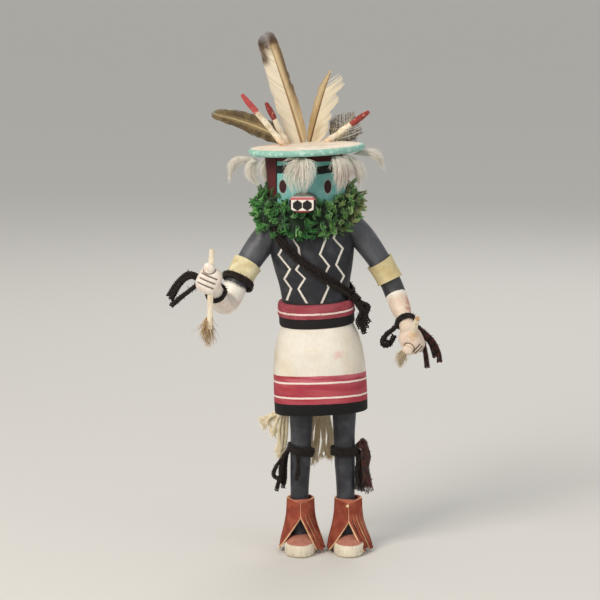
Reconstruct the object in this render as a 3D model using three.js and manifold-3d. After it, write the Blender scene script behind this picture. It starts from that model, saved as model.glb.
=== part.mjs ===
// A carved and painted kachina doll, dressed with feathers, yarn and leather.
// Millimetres, +Z up. The doll stands on its soles, faces -Y, and its right hand is on the -X side.

import * as THREE from 'three';
import { mergeVertices } from 'three/addons/utils/BufferGeometryUtils.js';
import Module from 'manifold-3d';

const wasm = await Module();
wasm.setup();

// Driving sizes
const FIGURE_HEIGHT = 233; // soles to the flat top of the head
const GAP = 0.3; // clearance between two pieces that touch
const DISC_DIAMETER = 67;
const DISC_THICKNESS = 3.8;
const DISC_OFFSET = 1.6; // the disc sits off the middle of the head
const SNOUT_WIDTH = 14.6;
const SNOUT_HEIGHT = 9.8;
const SNOUT_REACH = 38; // middle of the head to the front of the snout
const SNOUT_LEVEL = 207.6; // soles to the middle of the snout
const CROWN_STICK_WIDTH = 3.1;
const HAND_STICK_WIDTH = 3.2;
const TALL_FEATHER = 68.6;
const BROKEN_FEATHER = 44.5;
const BROWN_FEATHER = 50;
const SPECKLED_FEATHER = 20.5;
const FEATHER_SHAFT = 1.3; // thickness of a quill at its foot
const DOWN_THICKNESS = 2.2;
const RUFF_OUTER = 35; // middle of the head to the outside of the yarn
const RUFF_INNER = 15;
const RUFF_LEVEL = 196.5; // soles to the middle of the ruff in front
const RUFF_BACK_RISE = 8.5;
const RUFF_HALF_HEIGHT = 9.5; // in front; it swells by a third at the sides
const YARN = 2.8; // thickness of a loose strand of black yarn
const GARTER_YARN = 3.2;
const WOUND_YARN = 1.7; // thickness of yarn pulled flat round a wrist or a leg
const COTTON_CORD = 2.2;
const BANDOLIER_WIDTH = 5.4;
const BANDOLIER_THICKNESS = 1.8;
const ARMBAND_WALL = 0.9;
const RIGHT_ARMBAND_WIDTH = 11.5;
const LEFT_ARMBAND_WIDTH = 13;
const WRAP_HEIGHT = 31;
const WRAP_LEATHER = 1.2;
const FOOT_LENGTH = 35;
const FOOT_WIDTH = 18;
const RAND_HEIGHT = 7; // pale side wall of the moccasin

// Carved lengths are given for a figure 233 tall and follow its height
const SHARE = FIGURE_HEIGHT / 233;
const ROLL = 0.049; // slope of the shoulders, waist and disc, the left side higher
const HEM_ROLL = 0.085;
const YAW = 0.082; // turn of the snout towards the right side
const FEET_MIDDLE = 11.6 * SHARE;
const LEAN = 0.00022 / SHARE; // sideways lean, by height squared

const spineX = (z) => FEET_MIDDLE - LEAN * z * z;

// Each section of the trunk: height, half width, half depth
const TRUNK = [
  [138, 19.3, 16], [148, 19.4, 16], [158, 20.6, 16.2], [168, 22.8, 16.8], [178, 24.4, 17],
  [186, 24.4, 16.4], [192, 22.5, 15], [197, 18.5, 13.4], [201, 14.5, 12], [206, 12, 11],
];
const SASH = [
  [134.6, 20.8, 18.6], [135.2, 21.9, 19.6], [140.2, 21.9, 19.6], [140.8, 22.5, 20.2],
  [148.4, 22.1, 19.8], [149.4, 20.9, 18.4],
];
const KILT = [
  [84, 26.6, 25.2], [85, 27.1, 25.9], [91, 27.2, 26], [100, 27.1, 26], [110, 26.7, 25.6],
  [120, 25.5, 24.3], [128, 23.6, 22.2], [134, 21.2, 19.8], [136.5, 20.4, 18.8],
];
const HEAD = [
  [194, 17, 15.6], [197, 20, 18.4], [201, 21.7, 20.2], [208, 22.3, 21], [222, 22.4, 21.2],
  [233, 22.4, 21.2],
];
// Each section of a leg: height, sideways shift, depth shift, half width, half depth
const LEG = [
  [90, 0, 0, 7.2, 7.8], [80, 0, 0, 6.9, 7.6], [70, 0, 0.2, 6.3, 7], [62, 0.2, 0, 6.1, 6.7],
  [52, 0.4, 1, 6, 6.7], [42, 0.8, 1, 5.6, 6.2], [32, 1, 0.6, 5.3, 5.8], [18, 1.4, 0, 5.5, 6.2],
  [9, 1.6, -1, 6, 7],
];
// Sideways from the middle of the feet to each leg, foot and ankle wrap; -1 is the right side
const LEG_PLACE = { [-1]: -13.2, 1: 11.9 };
const FOOT_PLACE = { [-1]: -14, 1: 14.6 };
const WRAP_PLACE = { [-1]: -13.6, 1: 14.4 };

// Vectors and outlines

const vec = (x, y, z) => new THREE.Vector3(x, y, z);
const scaled = (x, y, z) => vec(x, y, z).multiplyScalar(SHARE);

function ovalPoint(angle, halfWidth, halfDepth, squareness = 2.25) {
  const power = 2 / squareness;
  const c = Math.cos(angle);
  const s = Math.sin(angle);
  return [
    halfWidth * Math.sign(c) * Math.abs(c) ** power,
    halfDepth * Math.sign(s) * Math.abs(s) ** power,
  ];
}

function levelRing(centre, halfWidth, halfDepth, sides, roll = 0, squareness = 2.25) {
  const ring = [];
  for (let i = 0; i < sides; i += 1) {
    const [x, y] = ovalPoint((2 * Math.PI * i) / sides, halfWidth, halfDepth, squareness);
    ring.push(vec(centre.x + x, centre.y + y, centre.z + roll * x));
  }
  return ring;
}

// Solids

function solidFrom(geometry) {
  geometry.deleteAttribute('normal');
  geometry.deleteAttribute('uv');
  const merged = mergeVertices(geometry, 1e-4);
  const vertProperties = Float32Array.from(merged.attributes.position.array);
  const triVerts = Uint32Array.from(merged.index.array);
  return new wasm.Manifold(new wasm.Mesh({ numProp: 3, vertProperties, triVerts }));
}

function signedVolume(points, faces) {
  let sum = 0;
  for (let i = 0; i < faces.length; i += 3) {
    const [a, b, c] = [points[faces[i]], points[faces[i + 1]], points[faces[i + 2]]];
    sum += a.dot(b.clone().cross(c));
  }
  return sum;
}

function facesToSolid(points, faces) {
  if (signedVolume(points, faces) < 0) faces.reverse();
  const geometry = new THREE.BufferGeometry().setFromPoints(points);
  geometry.setIndex(faces);
  return solidFrom(geometry);
}

// A skin over rings of as many points each; a closed loop has no ends, and others end in a fan
function loft(rings, { loop = false, startPole = null, endPole = null } = {}) {
  const sides = rings[0].length;
  const points = rings.flat();
  const faces = [];
  const bands = loop ? rings.length : rings.length - 1;
  for (let r = 0; r < bands; r += 1) {
    const here = r * sides;
    const next = ((r + 1) % rings.length) * sides;
    for (let i = 0; i < sides; i += 1) {
      const j = (i + 1) % sides;
      faces.push(here + i, here + j, next + j, here + i, next + j, next + i);
    }
  }
  if (loop) return facesToSolid(points, faces);
  const middle = (ring) => ring.reduce((sum, p) => sum.add(p), vec(0, 0, 0)).divideScalar(sides);
  const last = (rings.length - 1) * sides;
  points.push(startPole ?? middle(rings[0]), endPole ?? middle(rings.at(-1)));
  for (let i = 0; i < sides; i += 1) {
    const j = (i + 1) % sides;
    faces.push(j, i, points.length - 2, last + i, last + j, points.length - 1);
  }
  return facesToSolid(points, faces);
}

// A limb is given by stations of [x, y, z, half width, half depth]; this is the cut across it, square to
// its run, at a station number that need not be whole
function sectionAt(stations, station) {
  const path = new THREE.CatmullRomCurve3(stations.map(([x, y, z]) => scaled(x, y, z)));
  const bays = stations.length - 1;
  const low = Math.min(Math.floor(station), bays - 1);
  const mix = (n) => SHARE * THREE.MathUtils.lerp(stations[low][n], stations[low + 1][n], station - low);
  const tangent = path.getTangent(station / bays);
  const across = vec(1, 0, 0).addScaledVector(tangent, -tangent.x).normalize();
  return {
    centre: path.getPoint(station / bays),
    tangent,
    across,
    deep: tangent.clone().cross(across),
    halfWidth: mix(3),
    halfDepth: mix(4),
    bayLength: path.getPoint(low / bays).distanceTo(path.getPoint((low + 1) / bays)),
  };
}

function sectionRing({ centre, across, deep, halfWidth, halfDepth }, extra, sides) {
  const ring = [];
  for (let i = 0; i < sides; i += 1) {
    const angle = (2 * Math.PI * i) / sides;
    ring.push(centre.clone()
      .addScaledVector(across, (halfWidth + extra) * Math.cos(angle))
      .addScaledVector(deep, (halfDepth + extra) * Math.sin(angle)));
  }
  return ring;
}

function limb(stations, sides, { steps = 2, extra = 0, dome = 0.55 } = {}) {
  const count = (stations.length - 1) * steps;
  const cuts = Array.from({ length: count + 1 }, (_, k) => sectionAt(stations, k / steps));
  const pole = (cut, way) => cut.centre.clone()
    .addScaledVector(cut.tangent, way * (dome * cut.halfWidth + extra));
  return loft(cuts.map((cut) => sectionRing(cut, extra, sides)),
    { startPole: pole(cuts[0], -1), endPole: pole(cuts[count], 1) });
}

// A strand of yarn or cord: a round section drawn along a smooth path
function strand(points, width, { sides = 5, step = 10 } = {}) {
  const path = new THREE.CatmullRomCurve3(points.map(([x, y, z]) => scaled(x, y, z)));
  const section = new THREE.Shape();
  for (let i = 0; i < sides; i += 1) {
    const angle = (2 * Math.PI * i) / sides;
    const corner = [(width / 2) * Math.cos(angle), (width / 2) * Math.sin(angle)];
    if (i === 0) section.moveTo(...corner);
    else section.lineTo(...corner);
  }
  section.closePath();
  const steps = Math.max(2, Math.round(path.getLength() / step));
  return solidFrom(new THREE.ExtrudeGeometry(section, { steps, extrudePath: path, bevelEnabled: false }));
}

const joined = (solids) => solids.reduce((whole, solid) => whole.add(solid));

// The carved figure

function profile(rows, z) {
  const heights = rows.map((row) => row[0] * SHARE);
  let low = 0;
  while (low < rows.length - 2 && heights[low + 1] < z) low += 1;
  const part = THREE.MathUtils.clamp((z - heights[low]) / (heights[low + 1] - heights[low]), 0, 1);
  return rows[low].map((value, n) => SHARE * THREE.MathUtils.lerp(value, rows[low + 1][n], part));
}

function trunkLoft(rows, { extra = 0, sides = 18, rolls = () => ROLL, squareness = 2.25 } = {}) {
  const rings = rows.map(([height, halfWidth, halfDepth], n) => {
    const end = n === 0 ? -extra : n === rows.length - 1 ? extra : 0;
    const z = height * SHARE + end;
    const [a, b] = [halfWidth * SHARE + extra, halfDepth * SHARE + extra];
    return levelRing(vec(spineX(height * SHARE), 0, z), a, b, sides, rolls(height), squareness);
  });
  return loft(rings);
}

function headSolid(extra = 0) {
  const rings = HEAD.map(([height, halfWidth, halfDepth], n) => {
    const z = height * SHARE + (n === HEAD.length - 1 ? extra : 0);
    const [a, b] = [halfWidth * SHARE + extra, halfDepth * SHARE + extra];
    return levelRing(vec(spineX(height * SHARE), 0, z), a, b, 22, ROLL, 2);
  });
  return loft(rings);
}

function legSolid(side, extra = 0) {
  const rings = LEG.map(([height, out, forward, halfWidth, halfDepth]) => levelRing(
    vec(FEET_MIDDLE + (LEG_PLACE[side] + side * out) * SHARE, forward * SHARE, height * SHARE),
    halfWidth * SHARE + extra, halfDepth * SHARE + extra, 10, 0, 2,
  ));
  return loft(rings);
}

// The moccasin: a flat sole, an upright rand with a rounded edge, and a domed top set in from it
function footSolid(side, extra = 0) {
  const middle = vec(FEET_MIDDLE + FOOT_PLACE[side] * SHARE, -7 * SHARE, 0);
  const levels = [
    [0, 0.93, 0], [1.2, 0.985, 0], [3.5, 1, 0], [RAND_HEIGHT / SHARE - 1.4, 0.985, 0],
    [RAND_HEIGHT / SHARE, 0.9, 0], [RAND_HEIGHT / SHARE + 0.3, 0.85, 0],
    [RAND_HEIGHT / SHARE + 3, 0.68, 2], [RAND_HEIGHT / SHARE + 4.8, 0.42, 5],
  ];
  const rings = levels.map(([height, size, back], n) => {
    const ring = [];
    for (let i = 0; i < 18; i += 1) {
      const angle = (2 * Math.PI * i) / 18;
      const [x, y] = ovalPoint(angle, FOOT_WIDTH / 2, FOOT_LENGTH / 2, 2.3);
      const heel = 1 - 0.26 * Math.max(0, y / (FOOT_LENGTH / 2));
      ring.push(vec(
        middle.x + x * heel * size + Math.sign(x) * extra,
        middle.y + back * SHARE + y * size + Math.sign(y) * extra,
        n === 0 ? -extra : height * SHARE + extra,
      ));
    }
    return ring;
  });
  return loft(rings);
}

function figureSolid(extra = 0) {
  const kiltRoll = (height) => THREE.MathUtils.mapLinear(Math.min(height, 130), 84, 130, HEM_ROLL, ROLL);
  return joined([
    trunkLoft(TRUNK, { extra }),
    trunkLoft(SASH, { extra, sides: 22 }),
    trunkLoft(KILT, { extra, sides: 22, rolls: kiltRoll, squareness: 2.35 }),
    headSolid(extra),
    legSolid(-1, extra), legSolid(1, extra),
    footSolid(-1, extra), footSolid(1, extra),
  ]);
}

// The arms, carved apart and pegged to the shoulders: stations of [x, y, z, half width, half depth]
const RIGHT_ARM = [
  [-17.5, 0.5, 189, 8.2, 8.4], [-25.2, 0, 180, 7.9, 8.2], [-32.6, -4, 169.3, 7.2, 7.3],
  [-38, -9, 160, 6.9, 6.9], [-42.6, -14, 150.4, 7, 6.8], [-46.5, -24, 151.4, 6.4, 6.2],
  [-49.8, -33, 156.5, 4.5, 4.4], [-52.2, -40, 162.6, 5.2, 5],
];
const LEFT_ARM = [
  [27, 0.5, 192, 7.2, 8], [34.4, 0.8, 183.5, 7.4, 7.9], [43.4, 1.5, 170.8, 6.6, 7.1],
  [49.8, 1, 158.9, 6.2, 6.8], [53.3, -1.5, 150.6, 6.1, 6.4], [56, -8, 143.6, 5.6, 5.8],
  [58.4, -15, 137.2, 4.3, 4.4], [60.4, -20.5, 131.5, 5.6, 5],
];
const ARMBAND_STATION = 2.5; // where along the stations the leather armbands and the wrist yarn sit
const WRIST_STATION = 6;
const RIGHT_FIST = { at: [-53.4, -43.5, 165], half: [6.9, 5.6, 7.6], turn: [0, 0.49, 0.15] };
const LEFT_FIST = { at: [61.6, -24, 127.4], half: [6.6, 5.2, 8.2], turn: [0.25, -0.42, -0.5] };
const RIGHT_THUMB = { at: [-53, -46.9, 172.6], half: [3.4, 2.8, 2.4], turn: [0, 0.5, 0] };
const LEFT_THUMB = { at: [59, -29.4, 123], half: [3, 2.4, 3.2], turn: [0, 0.4, 0] };
const RIGHT_STICK = [[-51.6, -45.4, 184.5], [-53.2, -43.6, 137.5]];
const LEFT_STICK = [[64.3, -35, 142.2], [58.6, -15.4, 117.5]];

function placed(geometry, { at, turn }) {
  geometry.applyQuaternion(new THREE.Quaternion().setFromEuler(new THREE.Euler(...turn)));
  geometry.translate(at[0] * SHARE, at[1] * SHARE, at[2] * SHARE);
  return solidFrom(geometry);
}

function solidToGeometry(solid) {
  const mesh = solid.getMesh();
  const geometry = new THREE.BufferGeometry();
  geometry.setAttribute('position', new THREE.BufferAttribute(mesh.vertProperties, 3));
  geometry.setIndex(new THREE.BufferAttribute(mesh.triVerts, 1));
  return geometry;
}

function ballSolid(ball, extra = 0) {
  const geometry = new THREE.SphereGeometry(1, 8, 6);
  geometry.scale(...ball.half.map((half) => half * SHARE + extra));
  return placed(geometry, ball);
}

// A closed hand: a block with rounded edges, cut by three grooves between the fingers
function fistSolid(fist, extra) {
  const [halfWidth, halfDepth, halfHeight] = fist.half.map((half) => half * SHARE + extra);
  const sections = [[-1, 0.62], [-0.78, 0.93], [-0.3, 1], [0.3, 1], [0.78, 0.93], [1, 0.62]];
  const rings = sections.map(([along, size]) => {
    const centre = vec(0, 0, along * halfHeight);
    return levelRing(centre, halfWidth * size, halfDepth * size, 12, 0, 2.8);
  });
  let hand = placed(solidToGeometry(loft(rings)), fist);
  for (const row of [-1, 0, 1]) {
    const slot = new THREE.BoxGeometry(1.5 * halfWidth, 1.8 * SHARE, 0.5 * SHARE);
    slot.translate(0, -halfDepth, row * 0.5 * halfHeight);
    if (extra === 0) hand = hand.subtract(placed(slot, fist));
  }
  return hand;
}

function armSolid(stations, fist, thumb, extra = 0) {
  return joined([limb(stations, 10, { extra }), fistSolid(fist, extra), ballSolid(thumb, extra)]);
}

const rightArm = (extra) => armSolid(RIGHT_ARM, RIGHT_FIST, RIGHT_THUMB, extra);
const leftArm = (extra) => armSolid(LEFT_ARM, LEFT_FIST, LEFT_THUMB, extra);

// What is left of a solid beside its neighbours; a crumb cut loose at an edge is dropped
function beside(solid, ...neighbours) {
  const pieces = neighbours.reduce((rest, other) => rest.subtract(other), solid).decompose();
  return pieces.reduce((most, piece) => (piece.volume() > most.volume() ? piece : most));
}

// Rings and strands of yarn

function armHoop(stations, station, width) {
  const { centre, across, deep, tangent, halfWidth, halfDepth } = sectionAt(stations, station);
  return hoop(centre, across, deep, tangent, halfWidth, halfDepth, width);
}

function hoop(centre, across, deep, axis, halfWidth, halfDepth, width, sides = 10) {
  const rings = [];
  for (let i = 0; i < sides; i += 1) {
    const angle = (2 * Math.PI * i) / sides;
    const reach = GAP + WOUND_YARN / 2;
    const out = across.clone().multiplyScalar(Math.cos(angle)).addScaledVector(deep, Math.sin(angle));
    const middle = centre.clone()
      .addScaledVector(across, (halfWidth + reach) * Math.cos(angle))
      .addScaledVector(deep, (halfDepth + reach) * Math.sin(angle));
    const ring = [];
    for (let k = 0; k < 5; k += 1) {
      const turn = (2 * Math.PI * k) / 5;
      ring.push(middle.clone()
        .addScaledVector(out, (WOUND_YARN / 2) * Math.cos(turn))
        .addScaledVector(axis, (width / 2) * Math.sin(turn)));
    }
    rings.push(ring);
  }
  return loft(rings, { loop: true });
}

// The head's crown, the disc on it and the points that stand on the disc
const CROWN_X = spineX(FIGURE_HEIGHT);
const crownHeight = (x) => FIGURE_HEIGHT + ROLL * (x - CROWN_X);
const discBottom = (x) => crownHeight(x) + GAP;
const discTop = (x) => discBottom(x) + DISC_THICKNESS;

function discSolid(extra = 0) {
  const centre = CROWN_X + DISC_OFFSET;
  const halfThick = DISC_THICKNESS / 2 + extra;
  const rings = [];
  for (let k = 0; k <= 4; k += 1) {
    const turn = -Math.PI / 2 + (Math.PI * k) / 4;
    const radius = DISC_DIAMETER / 2 - DISC_THICKNESS / 2 + halfThick * Math.cos(turn);
    const z = discBottom(centre) + DISC_THICKNESS / 2 + halfThick * Math.sin(turn);
    rings.push(levelRing(vec(centre, 0, z), radius, radius, 32, ROLL, 2));
  }
  return loft(rings);
}

// The foot of what stands on the disc, sunk a little into it before the disc is cut away
const discFoot = ([x, y]) => vec(x * SHARE, y * SHARE, discTop(x * SHARE) - 1);

// A painted peg on the crown: knobbly whittled wood from its foot [x, y], and its run to the tip
function crownStick(foot, run) {
  const start = discFoot(foot);
  const end = start.clone().add(scaled(...run));
  const along = end.clone().sub(start).normalize();
  const across = vec(0, 1, 0).cross(along).normalize();
  const deep = along.clone().cross(across);
  const knobs = [1.05, 1.25, 0.98, 1.1, 0.9, 0.95, 0.72];
  const rings = knobs.map((size, k) => {
    const centre = start.clone().lerp(end, k / (knobs.length - 1));
    const ring = [];
    for (let i = 0; i < 8; i += 1) {
      const angle = (2 * Math.PI * i) / 8;
      ring.push(centre.clone()
        .addScaledVector(across, (CROWN_STICK_WIDTH / 2) * size * Math.cos(angle))
        .addScaledVector(deep, (CROWN_STICK_WIDTH / 2) * size * Math.sin(angle)));
    }
    return ring;
  });
  return beside(loft(rings), discSolid(GAP));
}

// A flat feather: a quill from foot to tip, with the vane's reach to each side at even steps along it
function feather({ foot, way, length, bow, left, right }) {
  const start = discFoot(foot);
  const along = vec(...way).normalize();
  const across = vec(0, 1, 0).cross(along).normalize();
  const facing = across.clone().cross(along).normalize();
  const rings = left.map((reach, k) => {
    const part = k / (left.length - 1);
    const centre = start.clone()
      .addScaledVector(along, length * part)
      .addScaledVector(across, bow * 4 * part * (1 - part));
    const thick = FEATHER_SHAFT * (1 - 0.6 * part);
    return [
      centre.clone().addScaledVector(across, -reach * length),
      centre.clone().addScaledVector(facing, thick / 2),
      centre.clone().addScaledVector(across, right[k] * length),
      centre.clone().addScaledVector(facing, -thick / 2),
    ];
  });
  return beside(loft(rings), discSolid(GAP));
}

// A down feather that hangs from under the rim: stations of [x, y, drop below the crown, half width]
function downFeather(stations) {
  const points = stations.map(([x, y, drop]) => vec(x, y, discBottom(x) - GAP - DOWN_THICKNESS / 2 - drop));
  const path = new THREE.CatmullRomCurve3(points);
  const count = 2 * (stations.length - 1);
  const rings = [];
  for (let k = 0; k <= count; k += 1) {
    const at = k / 2;
    const low = Math.min(Math.floor(at), stations.length - 2);
    const half = THREE.MathUtils.lerp(stations[low][3], stations[low + 1][3], at - low);
    const centre = path.getPoint(k / count);
    const tangent = path.getTangent(k / count);
    const outward = vec(centre.x - CROWN_X, centre.y, 0).normalize();
    const across = tangent.clone().cross(outward).normalize();
    const facing = across.clone().cross(tangent).normalize();
    const ring = [];
    for (let i = 0; i < 6; i += 1) {
      const angle = (2 * Math.PI * i) / 6;
      ring.push(centre.clone()
        .addScaledVector(across, half * Math.cos(angle))
        .addScaledVector(facing, (DOWN_THICKNESS / 2) * Math.sin(angle)));
    }
    rings.push(ring);
  }
  return beside(loft(rings), discSolid(GAP));
}

// The snout, a short oval peg on the face: shares of its reach, and its size there
const SNOUT_SECTIONS = [[0.447, 1.04], [0.632, 1], [0.789, 0.96], [0.947, 1], [0.984, 0.97], [1, 0.86]];

function snoutSolid(extra = 0) {
  const height = SNOUT_LEVEL * SHARE;
  const middle = spineX(height);
  const rings = SNOUT_SECTIONS.map(([share, size]) => {
    const reach = share * SNOUT_REACH + (share === 1 ? extra : 0);
    const ring = [];
    for (let i = 0; i < 16; i += 1) {
      const [x, z] = ovalPoint((2 * Math.PI * i) / 16, SNOUT_WIDTH / 2, SNOUT_HEIGHT / 2, 2.4);
      ring.push(vec(
        middle - YAW * reach + x * size + Math.sign(x) * extra,
        -reach,
        height + z * size + Math.sign(z) * extra,
      ));
    }
    return ring;
  });
  return loft(rings);
}

// The ruff: a thick lumpy ring of yarn under the mask, lower in front than at the back
function ruffSolid() {
  const rings = [];
  const turns = 24;
  for (let i = 0; i < turns; i += 1) {
    const angle = (2 * Math.PI * i) / turns;
    const back = (1 + Math.sin(angle)) / 2;
    const lumps = 1 + 0.07 * Math.sin(9 * angle) + 0.05 * Math.sin(14 * angle + 1);
    const centreHeight = (RUFF_LEVEL + RUFF_BACK_RISE * Math.min(1, back * 1.5)) * SHARE;
    const swell = 1 + Math.sin(Math.PI * Math.min(1, back * 1.3)) / 3;
    const halfHeight = RUFF_HALF_HEIGHT * swell * SHARE * lumps;
    const inner = RUFF_INNER * SHARE;
    const outer = RUFF_OUTER * (0.93 + 0.07 * Math.abs(Math.cos(angle))) * (0.96 + 0.5 * (lumps - 1));
    const [c, s] = [Math.cos(angle), Math.sin(angle)];
    const ring = [];
    for (let k = 0; k < 6; k += 1) {
      const turn = (2 * Math.PI * k) / 6;
      const reach = (inner + outer) / 2 + ((outer - inner) / 2) * Math.cos(turn);
      const z = centreHeight + halfHeight * Math.sin(turn);
      ring.push(vec(spineX(centreHeight) - 0.6 * SHARE + reach * c, reach * s, z + ROLL * reach * c));
    }
    rings.push(ring);
  }
  return loft(rings, { loop: true });
}

// The bandolier: flat strands of yarn from the right shoulder to the left hip and round the back
const BANDOLIER_ROUTE = [
  [-14, -2, 201.6], [-19.6, -10.5, 195.2], [-14.6, -16.6, 185], [-7.6, -18.2, 177.6],
  [0, -18.6, 171.4], [11.6, -17.6, 163.8], [20.6, -14, 157.4], [27.2, -7.4, 151.6],
  [29.2, 1, 151.4], [25.6, 9.6, 156], [17.6, 16, 163.4], [6, 18.8, 173], [-6, 18.6, 183],
  [-13.6, 14.4, 192], [-16, 6.6, 199.4],
];
const TASSEL_ROUTE = [
  [27, -6.6, 152.4, 2.4, 2], [31.6, -6.4, 147.4, 2.9, 2.6], [34.2, -6.6, 138.4, 3.2, 2.8],
  [34.6, -5.8, 130, 2.4, 2.2],
];

function bandolierSolid(extra = 0) {
  const path = new THREE.CatmullRomCurve3(BANDOLIER_ROUTE.map((p) => scaled(...p)), true);
  const count = 30;
  const rings = [];
  for (let k = 0; k < count; k += 1) {
    const centre = path.getPoint(k / count);
    const tangent = path.getTangent(k / count);
    const rise = Math.max(0, centre.z - 190 * SHARE);
    const outward = vec(centre.x - spineX(centre.z), centre.y, 2 * rise).normalize();
    const across = tangent.clone().cross(outward).normalize();
    const facing = across.clone().cross(tangent).normalize();
    const ring = [];
    for (const [side, face] of [[1, 0.6], [-1, 0.6], [-1, -1], [1, -1]]) {
      ring.push(centre.clone()
        .addScaledVector(across, side * (BANDOLIER_WIDTH / 2 + extra))
        .addScaledVector(facing, face * (BANDOLIER_THICKNESS / 2 + extra)));
    }
    rings.push(ring);
  }
  return loft(rings, { loop: true }).add(limb(TASSEL_ROUTE, 8, { extra, dome: 0 }));
}

// A leather band round an arm
function armbandSolid(stations, width) {
  const middle = sectionAt(stations, ARMBAND_STATION);
  const half = width / 2 / middle.bayLength;
  const rings = [];
  for (const [steps, extra] of [[[-1, 0, 1], GAP + ARMBAND_WALL], [[1, 0, -1], GAP]]) {
    for (const step of steps) {
      const cut = sectionAt(stations, ARMBAND_STATION + step * half);
      rings.push(sectionRing(cut, extra, 14));
    }
  }
  return loft(rings, { loop: true });
}

// The ankle wrap: a leather cone, notched at the top of its front, open over the foot, cut into fringe
const WRAP_LEVELS = [
  [0.1, 12.6, 15.4, -3], [0.24, 11.7, 13.9, -2.2], [0.45, 10, 11.4, -1], [0.7, 8.6, 9.2, -0.2],
  [1, 8.1, 8.3, 0],
];
const WRAP_SLITS = [-1.8, -0.9, 0, 0.9, 1.8]; // radians from the back

function ankleWrapSolid(side, openingTop) {
  const centre = FEET_MIDDLE + WRAP_PLACE[side] * SHARE;
  const rings = [];
  const turns = 18;
  for (let i = 0; i < turns; i += 1) {
    const angle = (2 * Math.PI * i) / turns;
    const front = Math.max(0, -Math.sin(angle)) ** 6;
    const section = (inset) => WRAP_LEVELS.map(([level, halfWidth, halfDepth, shift], n) => {
      const notch = n === WRAP_LEVELS.length - 1 ? 2.6 * front : 0;
      return vec(
        centre + (halfWidth * SHARE - inset) * Math.cos(angle),
        shift * SHARE + (halfDepth * SHARE - inset) * Math.sin(angle),
        WRAP_HEIGHT * level - notch,
      );
    });
    rings.push([...section(0), ...section(WRAP_LEATHER).reverse()]);
  }
  const leather = loft(rings, { loop: true });
  const top = openingTop * SHARE;
  const opening = new THREE.Shape();
  opening.moveTo(0, top);
  opening.lineTo(-0.74 * (top + 1), -1);
  opening.lineTo(0.74 * (top + 1), -1);
  opening.closePath();
  const wedge = new THREE.ExtrudeGeometry(opening, { depth: 40 * SHARE, bevelEnabled: false });
  wedge.rotateX(Math.PI / 2);
  wedge.translate(centre, -2 * SHARE, 0);
  let wrap = leather.subtract(solidFrom(wedge));
  for (const turn of WRAP_SLITS) {
    const slit = new THREE.Shape();
    slit.moveTo(0, WRAP_HEIGHT * 0.55);
    slit.lineTo(-0.7, -1);
    slit.lineTo(0.7, -1);
    slit.closePath();
    const blade = new THREE.ExtrudeGeometry(slit, { depth: 30 * SHARE, bevelEnabled: false });
    blade.rotateX(Math.PI / 2);
    blade.translate(0, -3 * SHARE, 0);
    blade.rotateZ(Math.PI + turn);
    blade.translate(centre, 0, 0);
    wrap = wrap.subtract(solidFrom(blade));
  }
  return beside(wrap, legSolid(side, GAP), footSolid(side, GAP));
}

// Garters: two turns of yarn below the knee, with a tassel of strands on the outer side
function garterSolid(side, turns, strands) {
  const rings = turns.map(([height, slope]) => {
    const leg = profile([...LEG].reverse(), height * SHARE);
    const centre = vec(FEET_MIDDLE + LEG_PLACE[side] * SHARE + side * leg[1], leg[2], height * SHARE);
    const across = vec(1, 0, slope * side).normalize();
    const deep = vec(0, 1, 0);
    return hoop(centre, across, deep, across.clone().cross(deep), leg[3], leg[4], GARTER_YARN);
  });
  return joined([...rings, ...strands.map((route) => strand(route, GARTER_YARN))]);
}

// The doll

const figure = figureSolid();
const figureSpace = figureSolid(GAP);
const rightArmSpace = rightArm(GAP);
const leftArmSpace = leftArm(GAP);

const straight = ([from, to]) => [from, from.map((value, n) => (value + to[n]) / 2), to];
const rightStick = strand(straight(RIGHT_STICK), HAND_STICK_WIDTH, { sides: 10, step: 60 });
const leftStick = strand(straight(LEFT_STICK), HAND_STICK_WIDTH, { sides: 10, step: 60 });
const stickSpace = (route) => strand(straight(route), HAND_STICK_WIDTH + 2 * GAP, { sides: 10, step: 60 });

const doll = new THREE.Group();

function addPart(name, solid, colour, roughness) {
  const geometry = solidToGeometry(solid);
  geometry.computeVertexNormals();
  const looks = { color: colour, roughness, metalness: 0, flatShading: true };
  const material = new THREE.MeshStandardMaterial(looks);
  const mesh = new THREE.Mesh(geometry, material);
  mesh.name = name;
  doll.add(mesh);
}

addPart('body', figure, 0x555a66, 0.75);
addPart('arm_right', beside(rightArm(0), figureSpace, stickSpace(RIGHT_STICK)), 0x5c616c, 0.75);
addPart('arm_left', beside(leftArm(0), figureSpace, stickSpace(LEFT_STICK)), 0x5c616c, 0.75);
addPart('snout', beside(snoutSolid(), headSolid(GAP)), 0xe8e0d6, 0.6);
addPart('crown_disc', discSolid(), 0x86c5b7, 0.65);

const CROWN_STICKS = {
  crown_stick_outer: [[-11, 14], [-24.7, -8, 30.8]],
  crown_stick_inner: [[-8.6, 22], [-13.2, -4, 25.2]],
  crown_stick_left: [[11.5, 25], [26.3, -5, 19.1]],
};
for (const [name, [foot, run]] of Object.entries(CROWN_STICKS)) {
  addPart(name, crownStick(foot, run), 0xe9dfc6, 0.7);
}

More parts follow.
